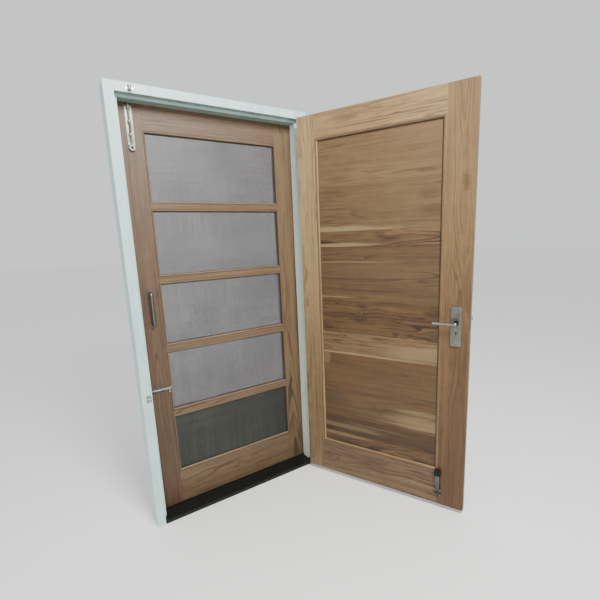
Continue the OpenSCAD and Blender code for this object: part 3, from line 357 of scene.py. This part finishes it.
mainSticks = {
    "main_stile_hinge": {
        "seed": (1.3, 0.10, -0.02), "upright": True, "early": (0.335, 0.232, 0.109),
        "late": (0.128, 0.077, 0.032), "tone": 0.34, "veins": 0.4, "lines": 0.8, "rings": 150.0,
        "streaks": 1.5,
        # Painted shade: a soft multiplied patch darkens the stile towards the bottom
        "patches": [patchAt(0.06, 0.20, 0.13, 0.95, (0.50, 0.45, 0.43), amount=1.0, ragged=0.15, soft=0.9,
                            blend="MULTIPLY")]},
    "main_stile_lock": {
        "seed": (4.1, 0.01, -0.87), "upright": True, "early": (0.182, 0.110, 0.045),
        "late": (0.086, 0.044, 0.016), "tone": 0.38, "veins": 0.6, "lines": 0.7, "rings": 150.0,
        "streaks": 1.1,
        "patches": [
            # Painted shade: a soft multiplied patch darkens the stile towards the bottom
            patchAt(0.87, 0.10, 0.16, 0.95, (0.53, 0.42, 0.34), amount=1.0, ragged=0.15, soft=0.9,
                    blend="MULTIPLY"),
            patchAt(0.875, 1.635, 0.014, 0.034, knotBrown, amount=0.5, ragged=0.8, soft=0.7, warp=4.0),
            patchAt(0.898, 0.82, 0.005, 0.13, knotBrown, amount=0.4, ragged=0.6, soft=0.8)]},
    "main_rail_top": {
        "seed": (7.7, 0.03, -2.05), "early": (0.262, 0.170, 0.079), "late": (0.110, 0.057, 0.022),
        "tone": 0.34, "veins": 0.6, "lines": 0.4, "streaks": 0.35, "bands": 0.7, "wander": 0.14,
        "patches": [
            patchAt(0.36, 1.966, 0.14, 0.0035, knotBrown, amount=0.5, ragged=0.35, soft=0.8),
            patchAt(0.60, 1.979, 0.16, 0.0035, knotBrown, amount=0.5, ragged=0.35, soft=0.8),
            patchAt(0.80, 1.994, 0.11, 0.0035, knotBrown, amount=0.6, ragged=0.35, soft=0.8),
            patchAt(0.30, 2.008, 0.05, 0.010, knotBrown, amount=0.4, ragged=0.9, soft=0.7, warp=3.0)]},
    "main_rail_bottom": {
        "seed": (2.2, 0.02, -0.15), "early": (0.148, 0.089, 0.043), "late": (0.054, 0.027, 0.011),
        "tone": 0.43, "veins": 0.9, "lines": 0.8, "streaks": 1.1, "wander": 0.18,
        "patches": [
            patchAt(0.46, 0.150, 0.05, 0.016, knotBrown, amount=0.35, ragged=0.9, soft=0.7, warp=4.0),
            patchAt(0.17, 0.120, 0.07, 0.010, knotBrown, amount=0.30, ragged=0.8, soft=0.7, warp=3.0),
            patchAt(0.64, 0.085, 0.12, 0.012, straw, amount=0.20, ragged=0.9)]},
    # The beads' side setting says which way along x their painted shade faces
    "main_beads": {
        "seed": (9.4, 0.2, 0.5), "early": (0.165, 0.100, 0.044), "late": (0.075, 0.040, 0.016),
        "tone": 0.42, "veins": 0.2, "arris": 0.0034, "paintedShadeSide": 1},
}

# Panel boards from the bottom up
boardLooks = [
    {"early": (0.106, 0.054, 0.016), "late": (0.025, 0.011, 0.0025), "seed": (0.4, 0.02, -0.20), "tone": 0.46,
     "veins": 1.1, "lines": 1.0, "wander": 0.2, "streaks": 1.2,
     "patches": [patchAt(0.24, 0.262, 0.16, 0.008, straw, amount=0.35, ragged=0.7)]},
    # The darkest board, with two streaks of sapwood
    {"early": (0.063, 0.029, 0.007), "late": (0.022, 0.008, 0.0015), "seed": (3.1, 0.03, -0.30), "tone": 0.46,
     "patches": [patchAt(0.27, 0.318, 0.25, 0.016, straw, amount=0.32, ragged=0.8),
                 patchAt(0.42, 0.345, 0.20, 0.007, straw, amount=0.18, ragged=0.8)]},
    {"early": (0.101, 0.054, 0.0165), "late": (0.045, 0.021, 0.006), "seed": (5.9, -0.01, -0.50),
     "tone": 0.38, "lines": 0.45, "bands": 0.8, "streaks": 0.9, "veins": 0.5, "patches": [
         patchAt(0.17, 0.48, 0.11, 0.045, heart, amount=0.5, ragged=0.7),
         patchAt(0.75, 0.436, 0.20, 0.030, straw, amount=0.5, ragged=0.9),
         patchAt(0.70, 0.487, 0.15, 0.010, straw, amount=0.40, ragged=0.9),
         patchAt(0.67, 0.402, 0.17, 0.008, straw, amount=0.35, ragged=0.9),
         patchAt(0.52, 0.452, 0.06, 0.035, knotBrown, amount=0.25, ragged=0.6, warp=4.0),
         patchAt(0.14, 0.725, 0.022, 0.045, straw, amount=0.35, ragged=0.9)]},
    # The palest board, with sapwood along its lower edge
    {"early": (0.166, 0.100, 0.043), "late": (0.056, 0.028, 0.010), "seed": (8.2, 0.0, -0.86), "tone": 0.39,
     "lines": 1.0, "streaks": 1.3, "wander": 0.2, "veins": 0.8,
     "patches": [patchAt(0.72, 0.812, 0.20, 0.042, straw, amount=0.45, ragged=0.9),
                 patchAt(0.30, 0.768, 0.32, 0.007, straw, amount=0.65, ragged=0.5)]},
    # The knotted board beside the lever
    {"early": (0.114, 0.062, 0.020), "late": (0.026, 0.011, 0.003), "seed": (1.7, -0.02, -0.95), "tone": 0.42,
     "wander": 0.34, "veins": 1.0, "lines": 1.1, "streaks": 1.0, "patches": [
         patchAt(0.345, 0.975, 0.040, 0.024, knotBrown, amount=0.65, ragged=0.9, soft=0.6, warp=6.0),
         patchAt(0.370, 1.045, 0.030, 0.016, knotBrown, amount=0.6, ragged=0.9, soft=0.6, warp=4.0),
         patchAt(0.555, 0.908, 0.020, 0.011, knotBrown, amount=0.8, ragged=0.6, warp=3.0),
         patchAt(0.630, 0.906, 0.022, 0.010, knotBrown, amount=0.8, ragged=0.6, warp=3.0),
         patchAt(0.740, 1.020, 0.050, 0.032, knotBrown, amount=0.45, ragged=0.9, soft=0.7, warp=7.0)]},
    {"early": (0.118, 0.068, 0.026), "late": (0.045, 0.022, 0.008), "seed": (6.6, 0.02, -1.13), "tone": 0.42,
     "veins": 0.6, "patches": [patchAt(0.18, 1.090, 0.13, 0.004, straw, amount=0.4, ragged=0.5)]},
    {"early": (0.113, 0.066, 0.028), "late": (0.050, 0.026, 0.010), "seed": (2.9, 0.0, -1.24), "tone": 0.42},
    {"early": (0.114, 0.065, 0.026), "late": (0.043, 0.021, 0.008), "seed": (7.3, -0.01, -1.34), "tone": 0.42,
     "veins": 0.8, "patches": [patchAt(0.30, 1.283, 0.24, 0.005, straw, amount=0.45, ragged=0.5)]},
    # Dark veins over a sapwood line
    {"early": (0.142, 0.082, 0.032), "late": (0.030, 0.014, 0.005), "seed": (4.8, 0.0, -1.41), "tone": 0.43,
     "veins": 1.3, "lines": 1.1, "wander": 0.2,
     "patches": [patchAt(0.22, 1.374, 0.27, 0.011, straw, amount=0.7, ragged=0.6)]},
    {"early": (0.132, 0.080, 0.034), "late": (0.064, 0.034, 0.013), "seed": (0.9, -0.01, -1.60), "tone": 0.36,
     "streaks": 0.5, "lines": 0.2, "bands": 0.55, "veins": 0.45, "patches": [
         patchAt(0.18, 1.458, 0.32, 0.014, straw, amount=0.75, ragged=0.5),
         patchAt(0.715, 1.605, 0.050, 0.025, knotBrown, amount=0.42, ragged=1.0, soft=0.7, warp=5.0),
         patchAt(0.735, 1.525, 0.055, 0.030, knotBrown, amount=0.36, ragged=1.0, soft=0.7, warp=4.0),
         patchAt(0.22, 1.66, 0.07, 0.035, heart, amount=0.3, ragged=0.9, soft=0.8)]},
    {"early": (0.152, 0.093, 0.040), "late": (0.078, 0.042, 0.017), "seed": (5.2, 0.01, -1.80), "tone": 0.36,
     "streaks": 0.5, "lines": 0.2, "bands": 0.55, "veins": 0.45, "patches": [
         patchAt(0.70, 1.712, 0.05, 0.010, knotBrown, amount=0.5, ragged=0.9, warp=2.5),
         patchAt(0.24, 1.715, 0.06, 0.022, heart, amount=0.3, ragged=0.9, soft=0.8)]},
]

# Screen door timber, redder and calmer
screenTimber = {
    "early": (0.137, 0.086, 0.052), "late": (0.064, 0.036, 0.020), "rings": 120.0, "wander": 0.10,
    "lines": 0.7, "bands": 1.0, "veins": 0.35, "streaks": 0.8, "tone": 0.42, "rough": 0.5, "gloss": 0.35,
    "upright": False, "hung": False, "arris": 0.0012, "patches": (),
}
screenSticks = {
    "screen_stile_hinge": {
        "seed": (2.7, 0.05, 0.37), "upright": True, "early": (0.134, 0.084, 0.043),
        "late": (0.056, 0.032, 0.015), "lines": 1.3, "streaks": 1.4},
    "screen_stile_lock": {
        "seed": (6.1, 0.0, -0.40), "upright": True, "early": (0.142, 0.090, 0.058), "tone": 0.40,
        "lines": 0.6, "streaks": 0.7,
        # Painted shade: a soft multiplied patch darkens the stile towards the bottom
        "patches": [grainPatch((-0.39, 0.03, 0.25), (0.2, 1.0, 0.8), (0.72, 0.66, 0.58), amount=1.0,
                               ragged=0.2, soft=0.9, blend="MULTIPLY")]},
    "screen_rail_top": {
        "seed": (3.9, 0.0, -2.02), "early": (0.150, 0.097, 0.056), "tone": 0.44, "lines": 0.5,
        "bands": 0.6, "streaks": 0.5},
    "screen_rail_bottom": {
        "seed": (8.8, 0.0, -0.12), "early": (0.135, 0.087, 0.047), "late": (0.050, 0.027, 0.013),
        "tone": 0.40, "veins": 1.0, "lines": 1.1, "wander": 0.24},
    "screen_mid_rails": {
        "seed": (1.1, 0.11, -1.1), "early": (0.150, 0.094, 0.050), "late": (0.062, 0.035, 0.017),
        "veins": 0.6},
    # The beads' side setting says which way along x their painted shade faces
    "screen_beads": {
        "seed": (5.5, 0.3, 0.2), "early": (0.128, 0.081, 0.044), "late": (0.055, 0.031, 0.016),
        "tone": 0.45, "arris": 0.0022, "paintedShadeSide": -1},
}


# Solid pieces are copies of their CAD nodes, with doubles merged, flat faces joined and arrises eased
easing = {"merge": 1e-5, "flat": math.radians(0.5), "sharp": math.radians(35), "segments": 2}


def easedCopy(name, arris):
    mesh = nodes[name].data.copy()
    mesh.materials.clear()
    shape = bmesh.new()
    shape.from_mesh(mesh)
    bmesh.ops.remove_doubles(shape, verts=shape.verts, dist=easing["merge"])
    bmesh.ops.dissolve_limit(shape, angle_limit=easing["flat"], verts=shape.verts, edges=shape.edges)
    if arris:
        sharp = [edge for edge in shape.edges if len(edge.link_faces) == 2
                 and edge.calc_face_angle(0) > easing["sharp"] and edge.is_convex]
        bmesh.ops.bevel(shape, geom=sharp, offset=arris, segments=easing["segments"], profile=0.5,
                        affect="EDGES", clamp_overlap=True)
    for face in shape.faces:
        face.smooth = False
    shape.to_mesh(mesh)
    shape.free()
    piece = bpy.data.objects.new(name + "_eased", mesh)
    bpy.context.collection.objects.link(piece)
    return piece


def settle(piece, name, slotName, *materials):
    for material in materials:
        piece.data.materials.append(material)
    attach(piece, bodyOf[name])
    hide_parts(name)


# Beads carry painted shade on the faces that look down and a painted highlight on the faces that look up,
# standing in for the light. The upright ones stand at the two ends of a leaf's beads. Their painted-shade
# faces look along x by the sign of the bead's side setting, and their painted-highlight faces look the other
# way
beadShading = {"tints": {"Unshaded": (1.0, 1.0, 1.0), "PaintedShade": (0.42, 0.42, 0.42), "PaintedLight": (1.7, 1.8, 2.1)},
            "endWidth": 0.018, "lean": 0.25}


def beadMaterials(name, look):
    materials = []
    for label, tint in beadShading["tints"].items():
        shaded = {tone: [c * t for c, t in zip(look[tone], tint)] for tone in ("early", "late")}
        for way, upright in (("Level", False), ("Upright", True)):
            materials.append(timberMaterial(name + label + way, dict(look, upright=upright, **shaded)))
    return materials


# Each bead face gets the plain material, the painted-shade one or the painted-highlight one, by which way it
# faces
def shadeBeads(piece, look):
    shut = Matrix.Identity(4)
    if look["hung"]:
        shut = Matrix.Rotation(-openTurn, 4, "Z") @ Matrix.Translation(-hingeLine)
    middles = [shut @ face.center for face in piece.data.polygons]
    low, high = min(middle.x for middle in middles), max(middle.x for middle in middles)
    for face, middle in zip(piece.data.polygons, middles):
        corners = [shut @ piece.data.vertices[index].co for index in face.vertices]
        wide, tall = (max(c[axis] for c in corners) - min(c[axis] for c in corners) for axis in (0, 2))
        upright = min(middle.x - low, high - middle.x) < beadShading["endWidth"] and tall > wide
        facing = shut.to_3x3() @ face.normal
        lean = facing.x * look["paintedShadeSide"] if upright else -facing.z
        shading = 0
        if abs(lean) > beadShading["lean"]:
            shading = 1 if lean > 0 else 2
        face.material_index = 2 * shading + upright


def makeStick(name, slotName, look):
    piece = easedCopy(name, look["arris"])
    if "paintedShadeSide" in look:
        settle(piece, name, slotName, *beadMaterials(name, look))
        shadeBeads(piece, look)
    else:
        settle(piece, name, slotName, timberMaterial(name + "Teak", look))


print("main door timber")
for name, stick in mainSticks.items():
    makeStick(name, "door_timber", dict(mainTimber, **stick))
for number, board in enumerate(boardLooks, 1):
    makeStick("main_board_%d" % number, "panel_boards", dict(mainTimber, arris=0.0010, **board))

print("screen door timber")
for name, stick in screenSticks.items():
    makeStick(name, "screen_timber", dict(screenTimber, **stick))


# Painted frame. The head's underside has a darker coat that is painted shade, and the right jamb a paler coat
# that is painted light
framePaint = {
    "frame": {"colour": (0.47, 0.66, 0.66), "dull": (0.36, 0.51, 0.50)},
    # The head underside's darker coat is painted shade
    "soffitShade": {"colour": (0.23, 0.29, 0.26), "dull": (0.16, 0.21, 0.18)},
    # The right jamb's paler coat is painted light
    "right": {"colour": (0.66, 0.765, 0.70), "dull": (0.54, 0.64, 0.585)},
    "rough": 0.42, "runs": (2.4, 2.4, 0.5), "smudge": 7.0, "smudged": 0.8,
    "brush": (260, 260, 9), "bump": 0.2, "bumpDepth": 0.0004, "soffitBelow": -0.7, "arris": 0.0015,
}


def paintMaterial(coat):
    look = dict(framePaint, **framePaint[coat])
    material, tree, shader = newMaterial(coat + "Paint", look["rough"])
    coords = objectCoords(tree)
    smudgeColour(tree, shader, vectorOut(tree, "MULTIPLY", coords, look["runs"]), look)
    addBump(tree, shader, drawnNoise(tree, coords, look["brush"]), look)
    return material


print("frame")
soffitPaintedShade = paintMaterial("soffitShade")
facePaint = paintMaterial("frame")
rightJambPaintedLight = paintMaterial("right")
framePieces = {"frame_head": facePaint, "frame_jamb_left": facePaint, "frame_jamb_right": rightJambPaintedLight}
for name, paint in framePieces.items():
    piece = easedCopy(name, framePaint["arris"])
    settle(piece, name, "frame_paint", paint, soffitPaintedShade)
    # Downward faces of the head take the darker coat as painted shade
    for face in piece.data.polygons:
        face.material_index = int(name == "frame_head" and face.normal.z < framePaint["soffitBelow"])


# Granite sill
sillStone = {"ground": (0.004, 0.0046, 0.0042), "fleck": (0.030, 0.033, 0.030), "flecks": 420.0,
             "fleckEdge": (0.72, 0.95), "rough": 0.34, "gloss": 0.2, "arris": 0.0012}


def stoneMaterial():
    material, tree, shader = newMaterial("blackGranite", sillStone["rough"], sillStone["gloss"])
    coords = objectCoords(tree)
    cells = putNode(tree, "ShaderNodeTexVoronoi", {"Vector": coords, "Scale": sillStone["flecks"]})
    red = putNode(tree, "ShaderNodeSeparateColor", {0: cells.outputs["Color"]}).outputs[0]
    mask = stepOut(tree, red, *sillStone["fleckEdge"])
    colour = mixOut(tree, mask, sillStone["ground"], sillStone["fleck"])
    tree.links.new(colour, shader.inputs["Base Color"])
    return material


settle(easedCopy("threshold", sillStone["arris"]), "threshold", "sill_stone", stoneMaterial())


# Steel hardware. Brushing is drawn out upright or along
upBrush = (900, 900, 30)
alongBrush = (30, 30, 900)
steelFinish = {"smudge": 30.0, "smudged": 0.7, "roughSpread": 0.16, "bump": 0.12, "bumpDepth": 0.0002,
               "metal": 1.0, "brush": upBrush}
steelLooks = {
    "satinSteel": {"colour": (0.19, 0.187, 0.165), "dull": (0.125, 0.123, 0.108), "rough": 0.42},
    "keepPlate": {"colour": (0.27, 0.285, 0.265), "dull": (0.13, 0.14, 0.13), "rough": 0.4, "metal": 0.8},
    "zincPlate": {"colour": (0.29, 0.315, 0.265), "dull": (0.14, 0.16, 0.13), "rough": 0.45, "metal": 0.55},
    "baseSteel": {"colour": (0.062, 0.054, 0.044), "dull": (0.034, 0.029, 0.023), "rough": 0.4},
    "holderSteel": {"colour": (0.13, 0.128, 0.12), "dull": (0.06, 0.058, 0.054), "rough": 0.34},
    "brightSteel": {"colour": (0.46, 0.47, 0.45), "dull": (0.30, 0.31, 0.29), "rough": 0.3,
                    "brush": alongBrush},
    "leverSteel": {"colour": (0.33, 0.322, 0.305), "dull": (0.18, 0.175, 0.165), "rough": 0.22,
                   "brush": alongBrush},
    "handleSteel": {"colour": (0.20, 0.187, 0.168), "dull": (0.115, 0.107, 0.095), "rough": 0.42,
                    "brush": alongBrush},
}


def steelMaterial(name, steel):
    look = dict(steelFinish, **steel)
    material, tree, shader = newMaterial(name, look["rough"], metal=look["metal"])
    coords = shutCoords(tree)
    smudgeColour(tree, shader, coords, look)
    brushed = drawnNoise(tree, coords, look["brush"])
    rough = mathOut(tree, "ADD", mathOut(tree, "MULTIPLY", brushed, look["roughSpread"]),
                    look["rough"] - look["roughSpread"] / 2)
    tree.links.new(rough, shader.inputs["Roughness"])
    addBump(tree, shader, brushed, look)
    return material


# Each piece's own steel and the width of its eased arris, grouped under a slot name
hardware = {
    "satin_steel": {
        "strike_plate": ("satinSteel", 0.0003), "bolt_keeps": ("keepPlate", 0.0005),
        "lock_case": ("satinSteel", 0.0004), "lock_plate_outer": ("satinSteel", 0.0012),
        "lock_plate_inner": ("satinSteel", 0.0012), "lever_spindle": ("satinSteel", 0.0003),
        "main_tower_bolt_plate": ("satinSteel", 0.0004), "main_side_bolt_plate": ("satinSteel", 0.0004),
        "holder_base": ("baseSteel", 0.0005), "holder_arm": ("holderSteel", 0.0005),
        "screen_tower_bolt_plate": ("zincPlate", 0.0004), "screen_side_bolt_plate": ("satinSteel", 0.0004),
        "lever_outer": ("leverSteel", 0), "lever_inner": ("leverSteel", 0),
    },
    "bright_steel": {
        "main_hinge_frame_leaves": ("brightSteel", 0.0003), "main_hinge_pins": ("brightSteel", 0.0006),
        "screen_hinge_frame_leaves": ("brightSteel", 0.0003), "screen_hinge_pins": ("brightSteel", 0.0006),
        "frame_screws": ("brightSteel", 0), "main_hinge_door_leaves": ("brightSteel", 0.0003),
        "main_screws": ("satinSteel", 0), "latch_bolt": ("brightSteel", 0.0006),
        "dead_bolt": ("brightSteel", 0.0006), "main_tower_bolt_rod": ("brightSteel", 0.0004),
        "main_side_bolt_rod": ("brightSteel", 0.0004), "holder_pin": ("brightSteel", 0.0004),
        "screen_hinge_door_leaves": ("brightSteel", 0.0003), "screen_pull_handle": ("handleSteel", 0),
        "screen_screws": ("satinSteel", 0), "screen_tower_bolt_rod": ("zincPlate", 0.0004),
        "screen_side_bolt_rod": ("zincPlate", 0.0004),
    },
}
print("hardware")
steels = {name: steelMaterial(name, steel) for name, steel in steelLooks.items()}
for slotName, pieces in hardware.items():
    for name, (steelName, arris) in pieces.items():
        piece = easedCopy(name, arris)
        piece.data.shade_smooth()
        piece.data.set_sharp_from_angle(angle=easing["sharp"])
        settle(piece, name, slotName, steels[steelName])


# The door holder's rubber shoe
shoeRubber = {"colour": (0.004, 0.004, 0.004), "dull": (0.014, 0.014, 0.013), "rough": 0.7, "gloss": 0.25,
              "smudge": 60.0, "smudged": 0.5, "speckle": 900.0, "bump": 0.25, "bumpDepth": 0.0003,
              "arris": 0.0015}


def rubberMaterial():
    material, tree, shader = newMaterial("shoeRubber", shoeRubber["rough"], shoeRubber["gloss"])
    coords = objectCoords(tree)
    smudgeColour(tree, shader, coords, shoeRubber)
    addBump(tree, shader, noiseOut(tree, coords, shoeRubber["speckle"]), shoeRubber)
    return material


settle(easedCopy("holder_shoe", shoeRubber["arris"]), "holder_shoe", "holder_rubber", rubberMaterial())


# Woven insect mesh: warp and weft wires in each light. The lowest light has the close weave, which
# ends in the rail above it
meshWeave = {
    "pitch": 0.0015, "thick": 0.8, "lift": 0.45, "rough": 0.45, "metal": 0.2, "closeAbove": 0.016,
    "open": {"wire": 0.00074, "colour": (0.118, 0.105, 0.109), "dull": (0.028, 0.025, 0.026)},
    "close": {"wire": 0.00118, "colour": (0.046, 0.048, 0.040), "dull": (0.021, 0.023, 0.018)},
    "warpMarks": (150, 1, 2.2), "warpShare": 0.45, "weftMarks": (2.2, 1, 150), "weftShare": 0.3,
    "cloud": 4.0, "cloudShare": 0.25, "shineEdge": (0.40, 0.66),
}


def meshMaterial(closeTop):
    material, tree, shader = newMaterial("meshWire", meshWeave["rough"], metal=meshWeave["metal"])
    coords = objectCoords(tree)
    warp = drawnNoise(tree, coords, meshWeave["warpMarks"], detail=3.0, rough=0.6)
    weft = drawnNoise(tree, coords, meshWeave["weftMarks"], detail=3.0, rough=0.6)
    cloud = noiseOut(tree, coords, meshWeave["cloud"], detail=3.0)
    shine = mathOut(tree, "MULTIPLY", warp, meshWeave["warpShare"])
    for marks, share in ((weft, meshWeave["weftShare"]), (cloud, meshWeave["cloudShare"])):
        shine = mathOut(tree, "ADD", shine, mathOut(tree, "MULTIPLY", marks, share))
    shine = stepOut(tree, shine, *meshWeave["shineEdge"])
    height = putNode(tree, "ShaderNodeSeparateXYZ", {0: coords}).outputs[2]
    close, wide = (mixOut(tree, shine, meshWeave[weave]["dull"], meshWeave[weave]["colour"])
                   for weave in ("close", "open"))
    colour = mixOut(tree, mathOut(tree, "GREATER_THAN", height, closeTop), close, wide)
    tree.links.new(colour, shader.inputs["Base Color"])
    return material


def makeWeaveTree(material):
    tree, given, result = newGroup("insectWeave", "GeometryNodeTree", [
        ("Width", "Float", 0.6), ("Height", "Float", 0.3), ("Pitch", "Float", 0.0015),
        ("Wire", "Float", 0.0007), ("Centre", "Vector", (0, 0, 0)),
    ], [("Geometry", "Geometry")])

    # Warp wires stand upright, spaced along x. Weft wires lie level, spaced up z
    def wires(axis, across, length):
        half = mathOut(tree, "MULTIPLY", across, -0.5)
        halfPitch = mathOut(tree, "MULTIPLY", given["Pitch"], 0.5)
        start = putNode(tree, "ShaderNodeCombineXYZ", {axis: mathOut(tree, "ADD", half, halfPitch)})
        step = putNode(tree, "ShaderNodeCombineXYZ", {axis: given["Pitch"]})
        line = putNode(tree, "GeometryNodeMeshLine", {
            "Count": mathOut(tree, "FLOOR", mathOut(tree, "DIVIDE", across, given["Pitch"])),
            "Start Location": start.outputs[0], "Offset": step.outputs[0]}, mode="OFFSET")
        thick = mathOut(tree, "MULTIPLY", given["Wire"], meshWeave["thick"])
        size = putNode(tree, "ShaderNodeCombineXYZ", {axis: given["Wire"], 1: thick, 2 - axis: length})
        cube = putNode(tree, "GeometryNodeMeshCube", {"Size": size.outputs[0]})
        return putNode(tree, "GeometryNodeInstanceOnPoints", {
            "Points": line.outputs[0], "Instance": cube.outputs["Mesh"]}).outputs[0]

    lift = mathOut(tree, "MULTIPLY", given["Wire"], meshWeave["lift"])
    lift = putNode(tree, "ShaderNodeCombineXYZ", {1: lift})
    warp = putNode(tree, "GeometryNodeTransform", {
        "Geometry": wires(0, given["Width"], given["Height"]), "Translation": lift.outputs[0]})
    both = putNode(tree, "GeometryNodeJoinGeometry", {0: warp.outputs[0]})
    tree.links.new(wires(2, given["Height"], given["Width"]), both.inputs[0])
    placed = putNode(tree, "GeometryNodeTransform", {
        "Geometry": both.outputs[0], "Translation": given["Centre"]})
    real = putNode(tree, "GeometryNodeRealizeInstances", {0: placed.outputs[0]})
    painted = putNode(tree, "GeometryNodeSetMaterial", {"Geometry": real.outputs[0], "Material": material})
    tree.links.new(painted.outputs[0], result[0])
    return tree


def setInputs(modifier, values):
    for item in modifier.node_group.interface.items_tree:
        if item.item_type == "SOCKET" and item.in_out == "INPUT":
            modifier[item.identifier] = values[item.name]


# The corners of each light, read from the sheet's separate pieces
def lightBoxes():
    shape = bmesh.new()
    shape.from_mesh(nodes["screen_mesh"].data)
    bmesh.ops.remove_doubles(shape, verts=shape.verts, dist=easing["merge"])
    boxes, seen = [], set()
    for start in shape.verts:
        if start in seen:
            continue
        island, queue = [], [start]
        seen.add(start)
        while queue:
            vert = queue.pop()
            island.append(vert.co)
            for edge in vert.link_edges:
                other = edge.other_vert(vert)
                if other not in seen:
                    seen.add(other)
                    queue.append(other)
        boxes.append([Vector([pick(co[axis] for co in island) for axis in range(3)]) for pick in (min, max)])
    shape.free()
    return boxes


# The mesh of one light, with the modifier's result turned into plain faces
def weaveLight(tree, low, high, wire):
    carrier = bpy.data.objects.new("weaveCarrier", bpy.data.meshes.new("weaveCarrier"))
    bpy.context.collection.objects.link(carrier)
    modifier = carrier.modifiers.new("weave", "NODES")
    modifier.node_group = tree
    setInputs(modifier, {"Width": high.x - low.x, "Height": high.z - low.z, "Pitch": meshWeave["pitch"],
                         "Wire": wire, "Centre": (low + high) / 2})
    graph = bpy.context.evaluated_depsgraph_get()
    graph.update()
    mesh = bpy.data.meshes.new_from_object(carrier.evaluated_get(graph))
    bpy.data.objects.remove(carrier)
    return mesh


def buildMesh():
    boxes = lightBoxes()
    closeTop = min(high.z for low, high in boxes) + meshWeave["closeAbove"]
    material = meshMaterial(closeTop)
    tree = makeWeaveTree(material)
    joined = bmesh.new()
    for low, high in boxes:
        weave = "open" if low.z > closeTop else "close"
        joined.from_mesh(weaveLight(tree, low, high, meshWeave[weave]["wire"]))
    final = bpy.data.meshes.new("screenWeave")
    joined.to_mesh(final)
    joined.free()
    piece = bpy.data.objects.new("screen_weave", final)
    bpy.context.collection.objects.link(piece)
    settle(piece, "screen_mesh", "insect_mesh", material)
    print("mesh wires", len(final.polygons), "faces")


buildMesh()


# Floor, light and camera
studio = {
    "floor": (0.93, 0.93, 0.92), "floorRough": 0.9, "reach": 30,
    "world": (0.97, 0.985, 1.0), "worldStrength": 1.0,
    "lamps": {
        "key": {"at": (0.0, -2.3, 3.1), "aim": (0.3, -0.3, 1.0), "power": 150.0, "size": 0.9,
                "tint": (1.0, 0.985, 0.95)},
        "fill": {"at": (-2.6, -1.6, 2.4), "aim": (0.1, 0.0, 1.0), "power": 8.0, "size": 2.0,
                 "tint": (0.96, 0.98, 1.0)},
    },
}


def areaLight(name, lamp):
    light = bpy.data.lights.new(name, "AREA")
    light.shape = "SQUARE"
    light.energy = lamp["power"]
    light.size = lamp["size"]
    light.color = lamp["tint"]
    holder = bpy.data.objects.new(name, light)
    holder.location = lamp["at"]
    holder.rotation_euler = (Vector(lamp["aim"]) - Vector(lamp["at"])).to_track_quat("-Z", "Y").to_euler()
    bpy.context.collection.objects.link(holder)


def buildStudio():
    reach = studio["reach"]
    floorMesh = bpy.data.meshes.new("studioFloor")
    corners = [(-reach, -reach, 0), (reach, -reach, 0), (reach, reach, 0), (-reach, reach, 0)]
    floorMesh.from_pydata(corners, [], [(0, 1, 2, 3)])
    floor = bpy.data.objects.new("studioFloor", floorMesh)
    bpy.context.collection.objects.link(floor)
    material, tree, shader = newMaterial("studioFloor", studio["floorRough"])
    feed(tree, shader.inputs["Base Color"], studio["floor"])
    floorMesh.materials.append(material)
    world = bpy.data.worlds.new("studio")
    world.use_nodes = True
    backdrop = world.node_tree.nodes["Background"]
    feed(world.node_tree, backdrop.inputs["Color"], studio["world"])
    feed(world.node_tree, backdrop.inputs["Strength"], studio["worldStrength"])
    bpy.context.scene.world = world
    for name, lamp in studio["lamps"].items():
        areaLight(name, lamp)


# Angles in degrees: yaw to the right of the y axis, pitch downwards
eye = {"at": (-0.732, -1.945, 1.443), "yaw": 32.80, "pitch": 10.54, "roll": -2.17, "lens": 22.596,
       "sensor": 36.0, "shiftX": -0.01667, "shiftY": 0.01217, "near": 0.05, "far": 100}


def buildCamera():
    yaw, pitch, roll = (math.radians(eye[key]) for key in ("yaw", "pitch", "roll"))
    ahead = Vector((math.sin(yaw) * math.cos(pitch), math.cos(yaw) * math.cos(pitch), -math.sin(pitch)))
    right = Vector((math.cos(yaw), -math.sin(yaw), 0))
    up = right.cross(ahead)
    rolledRight = math.cos(roll) * right + math.sin(roll) * up
    rolledUp = -math.sin(roll) * right + math.cos(roll) * up
    turn = Matrix((rolledRight, rolledUp, -ahead)).transposed().to_4x4()
    lens = bpy.data.cameras.new("eye")
    lens.sensor_width = eye["sensor"]
    lens.lens = eye["lens"]
    lens.shift_x = eye["shiftX"]
    lens.shift_y = eye["shiftY"]
    lens.clip_start = eye["near"]
    lens.clip_end = eye["far"]
    camera = bpy.data.objects.new("eye", lens)
    camera.matrix_world = Matrix.Translation(eye["at"]) @ turn
    bpy.context.collection.objects.link(camera)
    bpy.context.scene.camera = camera


buildStudio()
buildCamera()
print("studio set")
